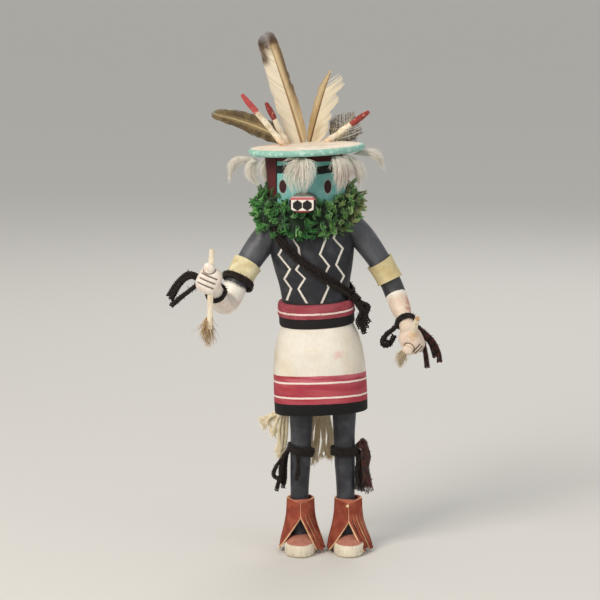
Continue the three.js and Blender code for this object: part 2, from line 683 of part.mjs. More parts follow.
const FEATHERS = {
  feather_tall: {
    foot: [-1, 28], way: [-21.2, -6, 64.9], length: TALL_FEATHER, bow: 0.6,
    left: [0.09, 0.115, 0.12, 0.122, 0.121, 0.12, 0.105, 0.09, 0.075, 0.02],
    right: [0.04, 0.065, 0.072, 0.075, 0.066, 0.064, 0.062, 0.055, 0.045, 0.02],
  },
  feather_broken: {
    foot: [3.4, 29], way: [11.6, -5, 40.1], length: BROKEN_FEATHER, bow: -0.5,
    left: [0.03, 0.045, 0.05, 0.05, 0.055, 0.06, 0.06, 0.05, -0.08],
    right: [0.1, 0.15, 0.18, 0.17, 0.165, 0.21, 0.17, 0.2, 0.17],
  },
  feather_brown: {
    foot: [-6.6, 30.5], way: [-46.9, 0.5, 17.8], length: BROWN_FEATHER, bow: 2.2,
    left: [0.03, 0.07, 0.12, 0.12, 0.1, 0.08, 0.05, 0.02],
    right: [0.03, 0.08, 0.12, 0.13, 0.12, 0.1, 0.07, 0.02],
  },
  feather_speckled: {
    foot: [18.6, 30], way: [12.8, 3, 19], length: SPECKLED_FEATHER, bow: 0,
    left: [0.14, 0.36, 0.46, 0.44, 0.34, 0.16],
    right: [0.14, 0.4, 0.5, 0.46, 0.34, 0.14],
  },
};
for (const [name, shape] of Object.entries(FEATHERS)) addPart(name, feather(shape), 0xd9cdb4, 0.8);

// Down feathers round the rim, from the figure's right side across its face, and three at the back
const DOWN_FEATHERS = {
  down_right_outer: [[-27, -4, 0.4, 1.6], [-35, -4, 2, 2.6], [-40.6, -4, 7, 2.4], [-42.4, -4, 13.6, 1]],
  down_right: [[-25, -12, 0.4, 2], [-28, -13, 5, 4], [-28, -14, 12, 3.6], [-26, -15, 18, 1]],
  down_front: [[-2, -26, 0.4, 3], [-2.2, -32, 3.4, 5.8], [-3, -33.6, 10, 6.4], [-2.8, -33, 17.4, 2]],
  down_left_front: [[16, -22, 0.4, 3], [19, -27, 4, 6], [20.4, -28.4, 10, 6], [20.4, -27.6, 17, 2]],
  down_left: [[26, -14, 0.4, 2], [29.4, -16, 5, 4.4], [31.4, -17, 10, 3.8], [31.4, -17, 15.4, 1]],
  down_left_outer: [[28, -4, 0.4, 1.6], [36, -4, 2, 2.8], [42, -4, 7, 2.8], [44.4, -4, 13, 1]],
  down_back_right: [[-17, 20, 0.4, 2], [-20.6, 24, 5, 4.4], [-21.6, 25, 11, 4], [-21, 24, 17, 1]],
  down_back: [[2, 26, 0.4, 2.4], [2, 31, 4, 5], [2, 32.6, 10, 4.6], [2, 32, 17, 1.4]],
  down_back_left: [[20, 18, 0.4, 2], [24, 22.4, 5, 4.4], [25.4, 23.6, 11, 4], [25, 23, 17, 1]],
};
for (const [name, stations] of Object.entries(DOWN_FEATHERS)) {
  addPart(name, downFeather(stations), 0xe4dccb, 0.9);
}

const bandolier = beside(bandolierSolid(), figureSpace, rightArmSpace, leftArmSpace);
addPart('ruff', beside(ruffSolid(), figureSpace, rightArmSpace, leftArmSpace, snoutSolid(GAP),
  bandolierSolid(GAP)), 0x2f6b35, 0.95);
addPart('bandolier', bandolier, 0x161413, 0.95);

addPart('armband_right', armbandSolid(RIGHT_ARM, RIGHT_ARMBAND_WIDTH), 0xd8c98e, 0.8);
addPart('armband_left', armbandSolid(LEFT_ARM, LEFT_ARMBAND_WIDTH), 0xb5a46c, 0.8);

const WRIST_STRANDS = {
  right: [
    [[-54.4, -30, 155.6], [-59, -27, 164], [-66, -24.6, 166.4], [-73, -22, 160], [-77.4, -20, 152.6]],
    [[-54.4, -30, 155.6], [-59.4, -27, 160.4], [-66.4, -24, 155.6], [-72, -23, 151], [-76, -22, 147.6]],
  ],
  left: [
    [[54.4, -13, 136], [50, -13, 131.4], [45.6, -13.4, 127.6], [45.4, -13.6, 123.6], [49, -13.4, 123.6],
      [52, -13, 129]],
    [[63, -13, 136], [68.4, -13, 131.4], [74, -13, 126], [77.4, -13, 119], [78.2, -13, 113.4]],
    [[63, -13, 136], [67.4, -16.6, 129], [69.6, -18, 120], [70.8, -18.4, 111]],
  ],
};
const wristYarn = (stations, routes) => joined([
  armHoop(stations, WRIST_STATION, YARN), ...routes.map((route) => strand(route, YARN)),
]);
addPart('wrist_yarn_right', beside(wristYarn(RIGHT_ARM, WRIST_STRANDS.right), rightArmSpace),
  0x141212, 0.95);
addPart('wrist_yarn_left', beside(wristYarn(LEFT_ARM, WRIST_STRANDS.left), leftArmSpace),
  0x1c1413, 0.95);

addPart('hand_stick_right', rightStick, 0xe6dcc4, 0.7);
addPart('hand_stick_left', leftStick, 0xe6dcc4, 0.7);
const tuft = (route) => limb(route, 8, { dome: 0 });
addPart('stick_feather_right', tuft([
  [-53.3, -43.5, 136.9, 1.6, 1.4], [-54.4, -43, 132, 3.8, 2], [-53.4, -42.6, 126.4, 2, 1.2],
]), 0xb48a52, 0.9);
addPart('stick_feather_left', tuft([
  [58.4, -14.9, 116.9, 1.6, 1.4], [57.4, -14.4, 112.6, 3, 1.6], [56.2, -14, 107.4, 1.4, 1],
]), 0xcfc4a8, 0.9);

const hemBottom = (x) => (84 + HEM_ROLL * (x - 10)) * SHARE - GAP;
const hang = (x, y, ...rest) => [[x, y, hemBottom(x * SHARE) / SHARE - COTTON_CORD * 0.2], ...rest];
const SIDE_CORDS = [
  [[-12, 10.4, 77.6], [-16.6, 10.4, 78], [-21.4, 10, 77.4], [-26, 9.4, 74.8]],
  [[-13, 10.4, 76.6], [-17.4, 10.4, 76], [-21.4, 10.2, 73.8], [-23.6, 10, 70.8]],
  [[-14, 10.4, 77], [-16.6, 10.4, 74], [-17.4, 10.6, 70], [-16.8, 11, 66.4]],
  hang(-13.4, 10.4, [-13.6, 11, 74], [-14, 11.4, 64], [-15.4, 11.6, 55]),
  hang(-11.4, 10.6, [-11.4, 11.4, 72], [-11.8, 11.6, 62], [-12.6, 11.6, 52]),
];
const BACK_CORDS = [
  hang(6.6, 12.6, [5.4, 13, 72], [3.8, 13, 62], [6.4, 13, 52]),
  hang(8.6, 12.6, [8, 13.2, 72], [7.6, 13.4, 60], [7.8, 13.2, 49.6]),
  hang(10.6, 12.6, [10.8, 13.4, 72], [12, 13.4, 61], [14.6, 13.2, 53]),
  hang(12.6, 12.6, [14.6, 13.2, 70], [16.6, 13.2, 62], [16.6, 13, 51.6]),
];
const cords = (routes) => joined(routes.map((route) => strand(route, COTTON_CORD, { sides: 5 })));
const bridge = (from, to) => strand([from, from.map((value, n) => (value + to[n]) / 2), to],
  COTTON_CORD, { sides: 6, step: 60 });
addPart('rain_sash_side', beside(cords(SIDE_CORDS).add(bridge([-16, 10.6, 79], [-10.6, 11, 79])),
  figureSpace), 0xe2d6b4, 0.9);
addPart('rain_sash_back', beside(cords(BACK_CORDS).add(bridge([6.2, 13, 76], [13.6, 13, 76])),
  figureSpace), 0xdccfa8, 0.9);

const RIGHT_TASSEL = [
  [[-8.8, -2, 60], [-11.6, -1.6, 56], [-14, -1, 46], [-14.6, -1, 36.6]],
  [[-8.8, 0.6, 60.6], [-10.6, 1, 54], [-11.4, 1.4, 44], [-11.6, 1.4, 37]],
  [[-9, -1.4, 58], [-14.6, -1, 51], [-17.6, -0.6, 44.6], [-16, -0.4, 42]],
  [[-4, -7.4, 57.6], [-3.4, -9.4, 53], [-3.4, -9.4, 45.4]],
];
const LEFT_TASSEL = [
  [[30.6, 0, 60.6], [33, -0.6, 56], [33.2, -1, 45], [33.6, -1, 35]],
  [[30.6, 1, 61.4], [34.4, 0.6, 64], [36.8, 0.4, 58], [36, 0, 47], [37, 0, 37]],
];
addPart('garter_right', beside(garterSolid(-1, [[58, 0.18], [61, 0.34]], RIGHT_TASSEL), figureSpace),
  0x131111, 0.95);
addPart('garter_left', beside(garterSolid(1, [[58.4, -0.06], [61.6, 0]], LEFT_TASSEL), figureSpace),
  0x151111, 0.95);

addPart('ankle_wrap_right', ankleWrapSolid(-1, 21), 0x9c4330, 0.85);
addPart('ankle_wrap_left', ankleWrapSolid(1, 17.5), 0x9c4330, 0.85);

// The origin is the middle of the doll's box, on the ground
const box = new THREE.Box3().setFromObject(doll);
doll.position.set(-(box.min.x + box.max.x) / 2, -(box.min.y + box.max.y) / 2, -box.min.z);

export default doll;
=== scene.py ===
"""A carved and painted kachina doll, dressed with feathers, yarn and leather. Metres, +Z up."""

import math

import bpy
import numpy as np
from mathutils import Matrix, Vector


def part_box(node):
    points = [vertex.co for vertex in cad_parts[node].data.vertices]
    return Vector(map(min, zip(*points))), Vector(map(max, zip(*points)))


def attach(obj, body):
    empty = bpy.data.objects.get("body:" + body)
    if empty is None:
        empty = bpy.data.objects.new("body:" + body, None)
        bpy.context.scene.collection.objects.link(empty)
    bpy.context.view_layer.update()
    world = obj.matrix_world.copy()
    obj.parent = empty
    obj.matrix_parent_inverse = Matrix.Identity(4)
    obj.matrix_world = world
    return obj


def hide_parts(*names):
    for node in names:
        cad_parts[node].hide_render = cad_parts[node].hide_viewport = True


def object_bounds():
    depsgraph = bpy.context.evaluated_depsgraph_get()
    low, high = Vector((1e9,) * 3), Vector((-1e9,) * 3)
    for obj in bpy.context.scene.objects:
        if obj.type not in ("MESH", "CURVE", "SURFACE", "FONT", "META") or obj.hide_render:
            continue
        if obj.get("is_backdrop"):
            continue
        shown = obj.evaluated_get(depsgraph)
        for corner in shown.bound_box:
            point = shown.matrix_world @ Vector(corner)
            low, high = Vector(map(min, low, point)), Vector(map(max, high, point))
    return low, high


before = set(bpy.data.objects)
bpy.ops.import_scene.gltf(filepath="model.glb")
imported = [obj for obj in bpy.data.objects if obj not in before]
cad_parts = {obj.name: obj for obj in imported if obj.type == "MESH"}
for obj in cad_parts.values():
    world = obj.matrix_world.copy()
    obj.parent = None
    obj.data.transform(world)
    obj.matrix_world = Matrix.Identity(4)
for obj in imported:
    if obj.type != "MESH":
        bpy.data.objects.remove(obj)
cad_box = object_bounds()

# The camera looks a little down on the doll from straight in front. Places on the doll are written in
# millimetres from between its feet, as it was carved, +X towards its left hand and -Y the way it faces;
# the disc on its head shows where that lies in the frame.
MM = 0.001
DISC_MIDDLE = 1.256  # across from the middle of the feet
CAMERA_DISTANCE = 1400
CAMERA_LENS = 144.8
FILM_WIDTH = 36
CAMERA_FALL = math.radians(8)
CAMERA_AIM = np.array([-2.32, 0, 147.7])

disc_low, disc_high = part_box("crown_disc")
SHIFT = np.array([
    (disc_low[0] + disc_high[0]) / 2 / MM - DISC_MIDDLE,
    (disc_low[1] + disc_high[1]) / 2 / MM,
    0,
])


def placed(points):
    """Millimetres on the doll as metres in the frame."""
    return (np.asarray(points, float) + SHIFT) * MM


def add_object(name, data):
    """A new object at the origin of the scene."""
    made = bpy.data.objects.new(name, data)
    bpy.context.scene.collection.objects.link(made)
    return made


lens = bpy.data.cameras.new("camera")
lens.lens = CAMERA_LENS
lens.sensor_width = FILM_WIDTH
camera = add_object("camera", lens)
back_off = np.array([0, -math.cos(CAMERA_FALL), math.sin(CAMERA_FALL)]) * CAMERA_DISTANCE
camera.location = placed(CAMERA_AIM + back_off)
camera.rotation_euler = (math.pi / 2 - CAMERA_FALL, 0, 0)
bpy.context.scene.camera = camera

# The figure: trunk, sash, kilt, mask, legs and moccasins, carved as one from a root of cottonwood,
# sanded, then painted by hand with matt earth colours. Zigzags, stripes and the mask's face are paint.
ROLL = 0.049  # slope of the shoulders and waist, the left side higher
HEM_ROLL = 0.048
HEM_PITCH = 0.06  # the hem stands a little higher in front
SASH_PITCH = -0.07  # and the sash dips there
FEET_MIDDLE = 11.6
LEAN = 0.00022
TRUNK = [
    [138, 19.3, 16], [148, 19.4, 16], [158, 20.6, 16.2], [168, 22.8, 16.8], [178, 24.4, 17],
    [186, 24.4, 16.4], [192, 22.5, 15], [197, 18.5, 13.4], [201, 14.5, 12], [206, 12, 11],
]
SASH = [
    [134.6, 20.8, 18.6], [134.9, 21.7, 19.4], [135.6, 21.9, 19.6], [139.8, 21.9, 19.6],
    [140.3, 21.9, 19.6], [140.6, 22.3, 20], [141.4, 22.5, 20.2], [146.2, 22.2, 19.9],
    [147.5, 21.8, 19.4], [148.2, 20.9, 18.4],
]
KILT = [
    [82.6, 26.4, 25], [82.9, 26.9, 25.6], [83.6, 27.1, 25.9], [91, 27.2, 26], [100, 27.1, 26],
    [110, 26.7, 25.6], [120, 25.5, 24.3], [127, 23.7, 22.2], [132, 21.6, 19.8], [134.6, 20.6, 18.4],
]
MASK = [
    [194, 17, 15.6], [197, 20, 18.4], [201, 21.7, 20.2], [208, 22.3, 21], [222, 22.4, 21.2],
    [231.8, 22.4, 21.2], [232.6, 22.1, 20.9], [233, 21.4, 20.2],
]
LEG = [
    [90, 0, 0, 7.2, 7.8], [80, 0, 0, 6.9, 7.6], [70, 0, 0.2, 6.3, 7], [62, 0.2, 0, 6.1, 6.7],
    [52, 0.4, 1, 6, 6.7], [42, 0.8, 1, 5.6, 6.2], [32, 1, 0.6, 5.3, 5.8], [18, 1.4, 0, 5.5, 6.2],
    [9, 1.6, -1, 6, 7],
]
TILT_CHANGE = (84, 130)  # from the hem's tilt to the waist's
LEG_PLACE = {-1: -13.2, 1: 11.9}
FOOT_PLACE = {-1: -14, 1: 14.6}
FOOT = {"width": 18, "length": 35, "rand": 7, "forward": -7}
# Heights of the painted stripes, and how much the kilt's rise towards the left
SASH_PAINT = {"black_to": 140.45, "line": (142.9, 143.9)}
KILT_PAINT = {"roll": 0.036, "black_to": 89.3, "red": (89, 105.7), "lines": (92.5, 101.1), "line_width": 1.05}
KILT_MARKS = {"smudge_at": 20, "smudge": (116, 121), "stain": (106, 122), "stain_to": -11}
# The mask's stripes, eyes and slanting brow bars: where they lie across, their heights and sizes
SIDE_STRIPE = -15.4
CROWN_STRIPE = 229.6
EYES = {"across": (-12.1, 13.5), "level": 215.3, "half_width": 2.083, "half_height": 3.774, "ring": 1.26}
BROWS = {"across": ((-15.6, -9.4), (7.2, 16.8)), "heights": (222.8, 227.4), "slant": 0.1}


def spine_x(height):
    """The doll leans, so its middle drifts sideways with height."""
    return FEET_MIDDLE - LEAN * height * height


def smooth_rows(rows, steps):
    """Rows of numbers with smooth ones put between them."""
    rows = np.asarray(rows, float)
    rows = np.vstack([2 * rows[0] - rows[1], rows, 2 * rows[-1] - rows[-2]])
    smooth = []
    for k in range(1, len(rows) - 2):
        a, b, c, d = rows[k - 1:k + 3]
        for t in np.arange(steps) / steps:
            bend = (2 * a - 5 * b + 4 * c - d) * t ** 2 + (3 * b - a - 3 * c + d) * t ** 3
            smooth.append(0.5 * (2 * b + (c - a) * t + bend))
    smooth.append(rows[-2])
    return np.array(smooth)


def full_turn(sides):
    """Evenly spaced angles once round."""
    return np.arange(sides) * 2 * np.pi / sides


def oval(centre, half_width, half_depth, sides=72, roll=0.0, squareness=2.25):
    """A level ring of points, oval or squarer."""
    angle = full_turn(sides)
    power = 2 / squareness
    x = half_width * np.sign(np.cos(angle)) * np.abs(np.cos(angle)) ** power
    y = half_depth * np.sign(np.sin(angle)) * np.abs(np.sin(angle)) ** power
    return np.stack([centre[0] + x, centre[1] + y, centre[2] + roll * x], 1)


def skin(rings, poles=None, loop=False):
    """A closed skin over rings of as many points each: its points and outward faces."""
    rings = np.asarray(rings, float)
    count, sides = rings.shape[:2]
    bands = np.arange(count if loop else count - 1)[:, None]
    i = np.arange(sides)[None]
    here, there = bands * sides, ((bands + 1) % count) * sides
    corners = [here + i, here + (i + 1) % sides, there + (i + 1) % sides, there + i]
    faces = np.stack(np.broadcast_arrays(*corners), -1).reshape(-1, 4)
    points = rings.reshape(-1, 3)
    volume = 0.0
    for a, b, c in ((0, 1, 2), (0, 2, 3)):
        p, q, r = (points[faces[:, k]] - points[0] for k in (a, b, c))
        volume += np.einsum("ij,ij->", p, np.cross(q, r))
    faces = faces.tolist()
    if not loop:
        start, end = poles if poles else (rings[0].mean(0), rings[-1].mean(0))
        points = np.vstack([points, start, end])
        last = (count - 1) * sides
        for k in range(sides):
            after = (k + 1) % sides
            faces.append([after, k, len(points) - 2])
            faces.append([last + k, last + after, len(points) - 1])
    if volume < 0:
        faces = [face[::-1] for face in faces]
    return points, faces


def make_object(name, shells, sharp=38):
    """One object at the origin from several shells, each (points in mm, faces, material)."""
    points, faces, marks, materials = [], [], [], []
    start = 0
    for shell_points, shell_faces, material in shells:
        points.append(placed(shell_points))
        faces.extend([start + k for k in face] for face in shell_faces)
        if material not in materials:
            materials.append(material)
        marks.extend([materials.index(material)] * len(shell_faces))
        start += len(shell_points)
    mesh = bpy.data.meshes.new(name)
    mesh.from_pydata(np.vstack(points).tolist(), [], faces)
    for material in materials:
        mesh.materials.append(material)
    mesh.polygons.foreach_set("material_index", marks)
    mesh.polygons.foreach_set("use_smooth", [True] * len(faces))
    mesh.set_sharp_from_angle(angle=math.radians(sharp))
    return add_object(name, mesh)


def hand_over(made, slot, *nodes):
    """The piece rides on the doll and stands for its CAD nodes, which it hides; the slot is not used."""
    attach(made, "root")
    if nodes:
        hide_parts(*nodes)


def tone(code):
    """A colour written as on a paint card, rrggbb, as linear red, green, blue and alpha."""
    parts = [int(code[k:k + 2], 16) / 255 for k in (0, 2, 4)]
    return [p / 12.92 if p < 0.04045 else ((p + 0.055) / 1.055) ** 2.4 for p in parts] + [1.0]


def join(tree, value, entry):
    """Feeds a node's input with a field, another node's output or a plain value."""
    if isinstance(value, Field):
        value = value.socket
    if isinstance(value, bpy.types.NodeSocket):
        tree.links.new(value, entry)
    else:
        entry.default_value = value


def add_node(tree, kind, inputs=None, **settings):
    """A new node with its settings and inputs."""
    node = tree.nodes.new(kind)
    for name, value in settings.items():
        setattr(node, name, value)
    for name, value in (inputs or {}).items():
        join(tree, value, node.inputs[name])
    return node


class Field:
    """A value that changes over a surface; sums of fields add Math nodes to their tree."""

    def __init__(self, tree, socket):
        self.tree, self.socket = tree, socket

    def math(self, kind, *others):
        values = dict(enumerate((self, *others)))
        return Field(self.tree, add_node(self.tree, "ShaderNodeMath", values, operation=kind).outputs[0])

    def __add__(self, other):
        return self.math("ADD", other)

    def __sub__(self, other):
        return self.math("SUBTRACT", other)

    def __mul__(self, other):
        return self.math("MULTIPLY", other)

    def __abs__(self):
        return self.math("ABSOLUTE")

    def flip(self):
        return (self * -1) + 1

    def above(self, edge, soft=0.12):
        """0 below an edge and 1 above it, with a soft border."""
        inputs = {"Value": self, "From Min": edge - soft, "From Max": edge + soft}
        kind = {"interpolation_type": "SMOOTHSTEP"}
        return Field(self.tree, add_node(self.tree, "ShaderNodeMapRange", inputs, **kind).outputs[0])

    def below(self, edge, soft=0.12):
        return self.above(edge, soft).flip()

    def between(self, low, high, soft=0.12):
        return self.above(low, soft) * self.below(high, soft)

    def noise(self, size, detail=2.0, stretch=(1, 1, 1), seed=0.0):
        """From a field of points: uneven values round 0.5, in patches `size` mm across."""
        inputs = {0: self, 1: [s / size for s in stretch], 2: [seed] * 3}
        point = add_node(self.tree, "ShaderNodeVectorMath", inputs, operation="MULTIPLY_ADD").outputs[0]
        inputs = {"Vector": point, "Scale": 1.0, "Detail": detail}
        return Field(self.tree, add_node(self.tree, "ShaderNodeTexNoise", inputs).outputs[0])


class Finish:
    """A material, laid on coat over coat, with places in millimetres on the doll."""

    def __init__(self, name, base, roughness=0.8, specular=0.35):
        self.material = bpy.data.materials.new(name)
        self.material.use_nodes = True
        self.tree = self.material.node_tree
        self.shader = self.tree.nodes["Principled BSDF"]
        self.shader.inputs["Roughness"].default_value = roughness
        self.shader.inputs["Specular IOR Level"].default_value = specular
        self.colour = tone(base)
        self.relief = None
        spot = self.tree.nodes.new("ShaderNodeTexCoord").outputs["Object"]
        inputs = {0: spot, 1: [1 / MM] * 3, 2: list(-SHIFT)}
        measured = add_node(self.tree, "ShaderNodeVectorMath", inputs, operation="MULTIPLY_ADD")
        self.point = Field(self.tree, measured.outputs[0])
        parts = add_node(self.tree, "ShaderNodeSeparateXYZ", {0: self.point}).outputs
        self.x, self.y, self.z = (Field(self.tree, part) for part in parts)

    def attribute(self, name):
        node = add_node(self.tree, "ShaderNodeAttribute", attribute_name=name)
        return Field(self.tree, node.outputs["Fac"])

    def coat(self, code, mask):
        """A coat of another colour where the mask is 1."""
        inputs = {0: mask, 6: self.colour, 7: tone(code)}
        node = add_node(self.tree, "ShaderNodeMix", inputs, data_type="RGBA")
        self.colour = Field(self.tree, node.outputs[2])

    def shade(self, factor):
        """Makes the colour darker or lighter by a factor."""
        inputs = {0: self.colour[:3] if isinstance(self.colour, list) else self.colour, "Scale": factor}
        node = add_node(self.tree, "ShaderNodeVectorMath", inputs, operation="SCALE")
        self.colour = Field(self.tree, node.outputs[0])

    def rise(self, height):
        """Relief in millimetres."""
        self.relief = height if self.relief is None else self.relief + height

    def done(self):
        join(self.tree, self.colour, self.shader.inputs["Base Color"])
        if self.relief is not None:
            inputs = {"Height": self.relief, "Distance": MM, "Strength": 1.0}
            bump = add_node(self.tree, "ShaderNodeBump", inputs)
            self.tree.links.new(bump.outputs[0], self.shader.inputs["Normal"])
        return self.material


def effect_group(name, work):
    """A shader node group: `work` makes a shade and a relief from a field of points and a strength."""
    group = bpy.data.node_groups.new(name, "ShaderNodeTree")
    group.interface.new_socket("Point", in_out="INPUT", socket_type="NodeSocketVector")
    group.interface.new_socket("Strength", in_out="INPUT", socket_type="NodeSocketFloat")
    entry = group.nodes.new("NodeGroupInput")
    results = work(*(Field(group, entry.outputs[socket]) for socket in ("Point", "Strength")))
    for socket in ("Shade", "Relief"):
        group.interface.new_socket(socket, in_out="OUTPUT", socket_type="NodeSocketFloat")
    leaving = group.nodes.new("NodeGroupOutput")
    for socket, result in zip(("Shade", "Relief"), results):
        join(group, result, leaving.inputs[socket])
    return group


def lay(finish, effect, strength):
    """Lays a shared effect over a finish and ends the finish."""
    inputs = {"Point": finish.point, "Strength": strength}
    outputs = add_node(finish.tree, "ShaderNodeGroup", inputs, node_tree=effect).outputs
    finish.shade(Field(finish.tree, outputs["Shade"]))
    finish.rise(Field(finish.tree, outputs["Relief"]))
    return finish.done()


def brushed(point, strength):
    """Hand-brushed paint: patchy shade, fine strokes, a carver's shallow facets and wood grain."""
    patches = point.noise(11, 3) - 0.5
    strokes = point.noise(1.1, 2, (1, 1, 0.35)) - 0.5
    facets = point.noise(6, 1, seed=4.0) - 0.5
    tooth = point.noise(0.45, 2) - 0.5
    shade = (patches * 0.55 + strokes * 0.35) * strength + 1
    return shade, facets * 0.5 + strokes * 0.06 + tooth * 0.05


BRUSHED = effect_group("Brushed paint", brushed)


def brush(finish, strength=1.0):
    return lay(finish, BRUSHED, strength)


# Each zigzag is [height, across] from the waist up, one per painted line on the chest
ZIGZAGS = [
    [[148.8, -10], [156.2, -7.4], [161.4, -11.4], [167.6, -8], [175.4, -14.6], [180, -12.2]],
    [[148, 1.6], [156.2, -3.3], [162.4, 0.5], [167.4, -4.6], [171.2, -2.2],
     [180.2, -3.1], [184.8, -6.3], [187.6, -5]],
    [[148, 10], [157, 14], [165, 12], [169.6, 14.3], [176.4, 9.1], [185, 12.4], [189, 10.5]],
    [[158.6, 20.6], [163.2, 23], [170.2, 18.4], [179.4, 22.2], [185.4, 16.9], [194, 20.2]],
]
LINE_WIDTH = 1.05


def zigzag_mask(finish, bends):
    """A painted line that runs up the chest through its bends."""
    low, high = bends[0][0], bends[-1][0]
    left, right = -20.0, 30.0
    run = (finish.z - low) * (1 / (high - low))
    curve = add_node(finish.tree, "ShaderNodeFloatCurve", {"Value": run})
    line = curve.mapping.curves[0]
    line.points[0].location = (0, (bends[0][1] - left) / (right - left))
    line.points[1].location = (1, (bends[-1][1] - left) / (right - left))
    for height, across in bends[1:-1]:
        line.points.new((height - low) / (high - low), (across - left) / (right - left))
    for point in line.points:
        point.handle_type = "VECTOR"
    curve.mapping.update()
    middle = Field(finish.tree, curve.outputs[0]) * (right - left) + left
    wobble = finish.point.noise(2.0) * 0.5 - 0.25
    off = abs(finish.x - middle + wobble)
    return off.below(LINE_WIDTH * 0.62, 0.14) * finish.z.between(low, high) * finish.y.below(0)


def trunk_finish():
    finish = Finish("charcoal paint", "1e2027", 0.58, 0.4)
    worn = finish.point.noise(9, 4, seed=2.0).above(0.6, 0.14)
    finish.coat("54565d", worn * 0.45)
    finish.coat("232427", finish.point.noise(16, 3, seed=7.0).above(0.58, 0.16) * 0.5)
    for bends in ZIGZAGS:
        finish.coat("ded9cf", zigzag_mask(finish, bends))
    return brush(finish)


def sash_finish():
    finish = Finish("sash paint", "8f3742", 0.75)
    height = finish.z - (finish.x - spine_x(144)) * ROLL + finish.y * SASH_PITCH
    finish.coat("ad5f68", finish.point.noise(5, 3, (0.4, 1, 1.6)).above(0.55, 0.2) * 0.5)
    uneven = height + finish.point.noise(4) * 0.5 - 0.25
    finish.coat("e6d3cb", uneven.between(*SASH_PAINT["line"], 0.15))
    finish.coat("141112", uneven.below(SASH_PAINT["black_to"], 0.15))
    scuffs = finish.point.noise(2.2, 3).above(0.66, 0.05) * height.above(SASH_PAINT["black_to"] + 0.15)
    finish.coat("8a5a5c", scuffs * 0.5)
    return brush(finish)


def kilt_finish():
    finish = Finish("kilt paint", "e4dfd4", 0.8)
    finish.coat("d6c9b0", finish.point.noise(15, 4, seed=3.0).above(0.52, 0.2) * 0.6)
    smudge = abs(finish.x - KILT_MARKS["smudge_at"]).below(2.4, 2)
    smudge = smudge * finish.z.between(*KILT_MARKS["smudge"], 2) * finish.y.below(0)
    finish.coat("dfa79b", smudge * finish.point.noise(2, 4).above(0.47, 0.1) * 0.6)
    height = finish.z - (finish.x - spine_x(96)) * KILT_PAINT["roll"] + finish.y * HEM_PITCH
    height = height + finish.point.noise(5) * 0.5 - 0.25
    red = height.between(*KILT_PAINT["red"], 0.15)
    finish.coat("a33844", red)
    faded = finish.point.noise(6, 4, (0.3, 0.3, 2.2), 9.0).above(0.52, 0.16)
    finish.coat("c77380", red * faded * height.above(101.6, 1.5) * 0.8)
    finish.coat("bd5f68", red * faded * 0.45)
    for low in KILT_PAINT["lines"]:
        finish.coat("eadbd2", height.between(low, low + KILT_PAINT["line_width"], 0.15))
    finish.coat("0e0c0d", height.below(KILT_PAINT["black_to"], 0.15))
    stain = finish.point.noise(9, 3, seed=5.0).above(0.5, 0.1) * height.between(*KILT_MARKS["stain"], 5)
    finish.coat("cdb27b", stain * finish.x.below(KILT_MARKS["stain_to"], 4) * 0.3)
    return brush(finish, 0.45)


def mask_finish():
    finish = Finish("mask paint", "72b3ae", 0.72)
    finish.coat("8cbfbb", finish.point.noise(7, 3).above(0.55, 0.16) * 0.5)
    finish.coat("4f191c", finish.z.above(CROWN_STRIPE, 0.3))
    front = finish.y.below(0, 1)
    maroon = finish.x.below(SIDE_STRIPE, 0.15) + finish.y.above(4, 0.15)
    finish.coat("561b1e", maroon.math("MINIMUM", 1.0))
    finish.coat("1c1a1c", finish.x.between(SIDE_STRIPE - 0.8, SIDE_STRIPE + 0.1, 0.12) * front)
    for middle in EYES["across"]:
        far = ((finish.x - middle) * (1 / EYES["half_width"])).math("POWER", 2.0)
        far = far + ((finish.z - EYES["level"]) * (1 / EYES["half_height"])).math("POWER", 2.0)
        far = far.math("SQRT")
        finish.coat("93aea9", far.below(EYES["ring"], 0.1) * front)
        finish.coat("38191d", far.below(1.0, 0.07) * front)
    for left, right in BROWS["across"]:
        bar = finish.z - (finish.x - (left + right) / 2) * BROWS["slant"]
        finish.coat("1b191b", finish.x.between(left, right) * bar.between(*BROWS["heights"]) * front)
    return brush(finish)


def leg_finish():
    finish = Finish("leg paint", "292a30", 0.52, 0.45)
    finish.coat("50525a", finish.point.noise(8, 4, seed=1.0).above(0.55, 0.16) * 0.5)
    finish.coat("212226", finish.point.noise(10, 3, seed=6.0).above(0.58, 0.14) * 0.6)
    return brush(finish)


def moccasin_finish():
    finish = Finish("moccasin paint", "b97c6b", 0.82)
    finish.coat("a96a58", finish.point.noise(4, 4).above(0.52, 0.15) * 0.7)
    height = finish.z + finish.point.noise(3) * 0.6 - 0.3
    finish.coat("dfd5c0", height.below(FOOT["rand"] - 0.1, 0.2))
    finish.coat("a89b84", height.below(0.8, 0.5) * 0.7)
    finish.coat("8d7f6b", finish.point.noise(2.4, 3, seed=8.0).above(0.66, 0.05) * height.below(6.5) * 0.6)
    return brush(finish)


def rounded(rows, roll, squareness, steps=1, pitch=0.0):
    """Rings up the trunk from rows of height, half width and half depth."""
    rings = []
    for height, half_width, half_depth in smooth_rows(rows, steps) if steps > 1 else rows:
        tilt = roll(height) if callable(roll) else roll
        centre = (spine_x(height), 0, height)
        ring = oval(centre, half_width, half_depth, 72, tilt, squareness)
        ring[:, 2] -= ring[:, 1] * (pitch(height) if callable(pitch) else pitch)
        rings.append(ring)
    return rings


def from_hem(height):
    """0 at the kilt's hem, 1 near the waist."""
    low, high = TILT_CHANGE
    return min(max((height - low) / (high - low), 0), 1)


def kilt_roll(height):
    return HEM_ROLL + (ROLL - HEM_ROLL) * from_hem(height)


def kilt_pitch(height):
    return HEM_PITCH * (1 - from_hem(height))


def leg_rings(side):
    rings = []
    for height, out, forward, half_width, half_depth in smooth_rows(LEG, 5):
        centre = (FEET_MIDDLE + LEG_PLACE[side] + side * out, forward, height)
        rings.append(oval(centre, half_width, half_depth, 40, 0, 2))
    return rings


